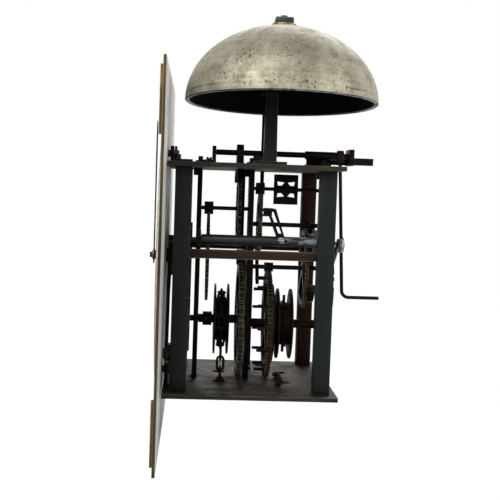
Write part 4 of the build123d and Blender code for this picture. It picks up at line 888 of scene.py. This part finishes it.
@dataclass
class DialFace:
    """Strokes on the chapter ring: minute track, hour numerals and half-hour marks."""

    hours: int = 12
    minutes: int = 60
    centre_z: float = 0.090
    front: float = -0.0633
    lift: float = 0.00012
    outer: float = 0.102
    inner: float = 0.074
    track: tuple[float, float] = (0.0052, 0.0024)
    minute_width: float = 0.0006
    fifth_width: float = 0.0013
    border: float = 0.0010
    inner_border: float = 0.0012
    circle_width: float = 0.0004
    circle_bars: int = 120
    numeral_foot: float = 0.0035
    numeral_height: float = 0.0155
    letter_gap: float = 0.0009
    letter_inset: float = 0.0010
    straight_width: float = 0.0018
    thick_width: float = 0.0020
    thin_width: float = 0.0009
    serif_width: float = 0.0006
    half_hour: tuple[float, float] = (0.0050, 0.0130)
    half_hour_cross: float = 0.0100
    half_hour_arm: float = 0.0022
    half_hour_width: float = 0.0012
    numerals: tuple[str, ...] = ("XII", "I", "II", "III", "IIII", "V", "VI", "VII", "VIII", "IX", "X", "XI")
    half_widths: dict[str, float] = field(default_factory=lambda: {"I": 0.0016, "V": 0.0042, "X": 0.0042})

    def bar(self, shape: Shape, start: tuple[float, float], end: tuple[float, float],
            width: float, turn: float) -> None:
        """Add one flat stroke.

        Args:
            shape: The mesh it is added to.
            start: One end, across and outwards from the dial's centre, in metres.
            end: The other end.
            width: The stroke's width.
            turn: Turn about the dial's centre in radians.
        """
        first, last = Vector((start[0], 0, start[1])), Vector((end[0], 0, end[1]))
        way = last - first
        lean = math.atan2(way.x, way.z)
        centre = Matrix.Translation((0, self.front - self.lift / 2, self.centre_z))
        place = (centre @ Matrix.Rotation(turn, 4, "Y") @ Matrix.Translation((first + last) / 2)
                 @ Matrix.Rotation(lean, 4, "Y") @ Matrix.Diagonal((width, self.lift, way.length, 1)))
        bmesh.ops.create_cube(shape, size=1.0, matrix=place)

    def numeral(self, shape: Shape, text: str, turn: float) -> None:
        """Add one hour numeral, its foot towards the centre."""
        low = self.inner + self.numeral_foot
        high = low + self.numeral_height
        widths = [2 * self.half_widths[letter] for letter in text]
        across = -(sum(widths) + self.letter_gap * (len(text) - 1)) / 2
        for letter, width in zip(text, widths):
            middle, half = across + width / 2, width / 2 - self.letter_inset
            if letter == "I":
                self.bar(shape, (middle, low), (middle, high), self.straight_width, turn)
            else:
                spread = 0.0 if letter == "V" else half
                self.bar(shape, (middle - half, high), (middle + spread, low), self.thick_width, turn)
                self.bar(shape, (middle + half, high), (middle - spread, low), self.thin_width, turn)
            for foot in (low, high):
                self.bar(shape, (across, foot), (across + width, foot), self.serif_width, turn)
            across += width + self.letter_gap

    def half_mark(self, shape: Shape, turn: float) -> None:
        """Add the small cross between two hours."""
        foot, head = (self.inner + height for height in self.half_hour)
        middle = self.inner + self.half_hour_cross
        self.bar(shape, (0, foot), (0, head), self.half_hour_width, turn)
        self.bar(shape, (-self.half_hour_arm, middle), (self.half_hour_arm, middle), self.half_hour_width,
                 turn)

    def circle(self, shape: Shape, radius: float) -> None:
        """Add a thin engraved circle of short bars."""
        half = radius * math.tan(math.pi / self.circle_bars)
        for number in range(self.circle_bars):
            self.bar(shape, (-half, radius), (half, radius), self.circle_width,
                     math.tau * number / self.circle_bars)

    def build(self, shop: Workshop) -> None:
        """Make every stroke of the ring as one piece."""
        shape = bmesh.new()
        hour = math.tau / self.hours
        for number, text in enumerate(self.numerals):
            self.numeral(shape, text, hour * number)
            self.half_mark(shape, hour * (number + 0.5))
        low, high = (self.outer - depth for depth in self.track)
        for number in range(self.minutes):
            width = self.minute_width if number % (self.minutes // self.hours) else self.fifth_width
            self.bar(shape, (0, low), (0, high), width, math.tau * number / self.minutes)
        for radius in (self.outer - self.border, high, low, self.inner + self.inner_border):
            self.circle(shape, radius)
        shop.extra("ring_strokes", shape, "chapter_ring", ENGRAVED_WAX)


@dataclass(frozen=True)
class Lump:
    """A lump of solder: its middle, its half sizes and how far its surface wanders, as a share of them."""

    middle: Triple
    size: Triple
    rough: float
    lean: float = 0.0

    def add_to(self, shape: Shape) -> None:
        """Add the lump to a mesh, its surface stirred by fixed waves."""
        ball = bmesh.ops.create_icosphere(shape, subdivisions=4, radius=1.0)["verts"]
        for vert in ball:
            x, y, z = vert.co
            wave = math.sin(x * 7 + 1.3) * math.sin(y * 5 + 0.4) + math.sin(z * 9 + x * 3)
            vert.co *= 1.0 + self.rough * 0.5 * wave
        place = Matrix.Translation(self.middle) @ Matrix.Rotation(self.lean, 4, "X")
        bmesh.ops.transform(shape, matrix=place @ Matrix.Diagonal((*self.size, 1)), verts=ball)


@dataclass
class Repairs:
    """Small old repairs: solder with a pinhole, drawn as a dark disc of painted shade, on the near lever
    arbor and a patch on the crutch.
    """

    solder: tuple[Lump, ...] = (Lump((0.05017, 0.021, 0.1053), (0.0019, 0.0064, 0.0024), 0.16),
                                Lump((0.05031, 0.032, 0.1041), (0.0014, 0.0042, 0.0015), 0.2))
    patch: Lump = Lump((0.0, 0.0668, 0.1003), (0.0021, 0.0024, 0.0062), 0.14, math.radians(-2.9))
    pinhole: Triple = (0.0522, 0.0216, 0.1051)
    pinhole_radius: float = 0.0010
    pinhole_depth: float = 0.0006
    pinhole_sides: int = 20
    sharp: float = 80.0

    def build(self, shop: Workshop) -> None:
        """Make the solder with its pinhole as a dark disc of painted shade, and the patch."""
        shape = bmesh.new()
        for lump in self.solder:
            lump.add_to(shape)
        shop.extra("arbor_solder", shape, "detent_arbor", SOLDER, self.sharp)
        # The pinhole is a thin near-black disc of painted shade on the solder.
        hole = bmesh.new()
        place = Matrix.Translation(self.pinhole) @ Matrix.Rotation(math.pi / 2, 4, "Y")
        bmesh.ops.create_cone(hole, cap_ends=True, segments=self.pinhole_sides, radius1=self.pinhole_radius,
                              radius2=self.pinhole_radius, depth=self.pinhole_depth, matrix=place)
        shop.extra("solder_pinhole_shade", hole, "detent_arbor", PAINTED_SHADE_INSIDE)
        patch = bmesh.new()
        self.patch.add_to(patch)
        shop.extra("crutch_patch", patch, "crutch", SOLDER, self.sharp)


@dataclass(frozen=True)
class Lamp:
    """A soft square lamp: its place and side in metres and its power in watts."""

    name: str
    place: Triple
    power: float
    side: float


@dataclass
class Studio:
    """A white room with soft lamps, and the camera of the photograph."""

    camera_place: Triple = (0.7368, -0.0399, 0.1392)
    yaw: float = math.radians(3.149)
    pitch: float = math.radians(3.402)
    roll: float = math.radians(1.982)
    lens: float = 73.63
    sensor: float = 36.0
    clip: tuple[float, float] = (0.05, 20.0)
    aim: Triple = (0.0, 0.0, 0.12)
    lamps: tuple[Lamp, ...] = (Lamp("key_lamp", (0.9, -0.7, 1.0), 13.0, 0.9),
                               Lamp("fill_lamp", (0.5, 1.3, 0.4), 9.0, 1.0),
                               Lamp("back_lamp", (-0.8, 0.2, 0.9), 6.0, 0.8))
    white: Colour = (1.0, 1.0, 1.0)
    daylight: Colour = (0.95, 0.97, 1.0)
    daylight_strength: float = 0.42
    floor_z: float = -0.0380
    floor_size: float = 6.0
    floor_colour: Colour = (0.9, 0.9, 0.9)
    floor_glow: float = 1.03
    floor_glow_share: float = 0.98

    def camera(self) -> None:
        """Place the camera as the photograph has it."""
        level = math.cos(self.pitch)
        forward = Vector((-math.cos(self.yaw) * level, math.sin(self.yaw) * level, -math.sin(self.pitch)))
        right = forward.cross(Vector((0, 0, 1))).normalized()
        up = right.cross(forward)
        turned_right = right * math.cos(self.roll) + up * math.sin(self.roll)
        turned_up = up * math.cos(self.roll) - right * math.sin(self.roll)
        data = bpy.data.cameras.new("camera")
        data.lens = self.lens
        data.sensor_width = self.sensor
        data.clip_start, data.clip_end = self.clip
        view = bpy.data.objects.new("camera", data)
        turn = Matrix((turned_right, turned_up, -forward)).transposed().to_4x4()
        view.matrix_world = Matrix.Translation(self.camera_place) @ turn
        bpy.context.scene.collection.objects.link(view)
        bpy.context.scene.camera = view

    def hang(self, lamp: Lamp) -> None:
        """Hang a lamp so that it faces the movement."""
        data = bpy.data.lights.new(lamp.name, "AREA")
        data.energy = lamp.power
        data.size = lamp.side
        light = bpy.data.objects.new(lamp.name, data)
        turn = (Vector(self.aim) - Vector(lamp.place)).to_track_quat("-Z", "Y").to_matrix().to_4x4()
        light.matrix_world = Matrix.Translation(lamp.place) @ turn
        bpy.context.scene.collection.objects.link(light)

    def world(self) -> None:
        """White to the camera, to reflections and through glass, a plain cool light to all else."""
        world = bpy.data.worlds.new("room")
        tree = fresh_tree(world)
        rays = add_node(tree, "LightPath").outputs
        shown = rays["Is Camera Ray"]
        for other in ("Is Glossy Ray", "Is Transmission Ray"):
            shown = add_node(tree, "Math", {0: shown, 1: rays[other]}, "MAXIMUM").outputs["Value"]
        light, white = (add_node(tree, "Background", {"Color": rgba(colour), "Strength": strength})
                        for colour, strength in ((self.daylight, self.daylight_strength), (self.white, 1.0)))
        mix = add_node(tree, "MixShader", {0: shown, 1: light.outputs[0], 2: white.outputs[0]})
        add_node(tree, "OutputWorld", {"Surface": mix.outputs["Shader"]})
        bpy.context.scene.world = world

    def floor(self) -> None:
        """A white floor that keeps a faint shadow."""
        shape = bmesh.new()
        bmesh.ops.create_grid(shape, x_segments=1, y_segments=1, size=self.floor_size,
                              matrix=Matrix.Translation((0, 0, self.floor_z)))
        mesh = bpy.data.meshes.new("floor")
        shape.to_mesh(mesh)
        shape.free()
        material = bpy.data.materials.new("floor_white")
        tree = fresh_tree(material)
        seen = add_node(tree, "LightPath").outputs["Is Camera Ray"]
        share = add_node(tree, "Math", {0: seen, 1: self.floor_glow_share}, "MULTIPLY")
        diffuse = add_node(tree, "BsdfDiffuse", {"Color": rgba(self.floor_colour)})
        glow = add_node(tree, "Emission", {"Strength": self.floor_glow})
        mix = add_node(tree, "MixShader", {0: share.outputs["Value"], 1: diffuse.outputs["BSDF"],
                                           2: glow.outputs["Emission"]})
        add_node(tree, "OutputMaterial", {"Surface": mix.outputs["Shader"]})
        mesh.materials.append(material)
        floor = bpy.data.objects.new("floor", mesh)
        bpy.context.scene.collection.objects.link(floor)

    def build(self) -> None:
        """Set the whole room up."""
        self.camera()
        self.world()
        self.floor()
        for lamp in self.lamps:
            self.hang(lamp)
        bpy.context.scene.view_settings.view_transform = "Standard"


CRISP = ("hammer_pins", "dial_pins", "bell_washer")
REPLACED = ("bell", "wrapped_chain", "hanging_chain", "loose_chain")


def main() -> None:
    """Dress the frame, make the finer pieces and set the room up."""
    logging.basicConfig(level=logging.INFO, format="%(message)s")
    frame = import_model()
    shop = Workshop(frame)
    for node in shop.nodes:
        if node in CRISP:
            shop.dress(node)
        elif node not in REPLACED:
            shop.soften(node)
    Bell().build(shop)
    Chain().build(shop)
    DialFace().build(shop)
    Repairs().build(shop)
    Studio().build()


if __name__ == "__main__":
    main()
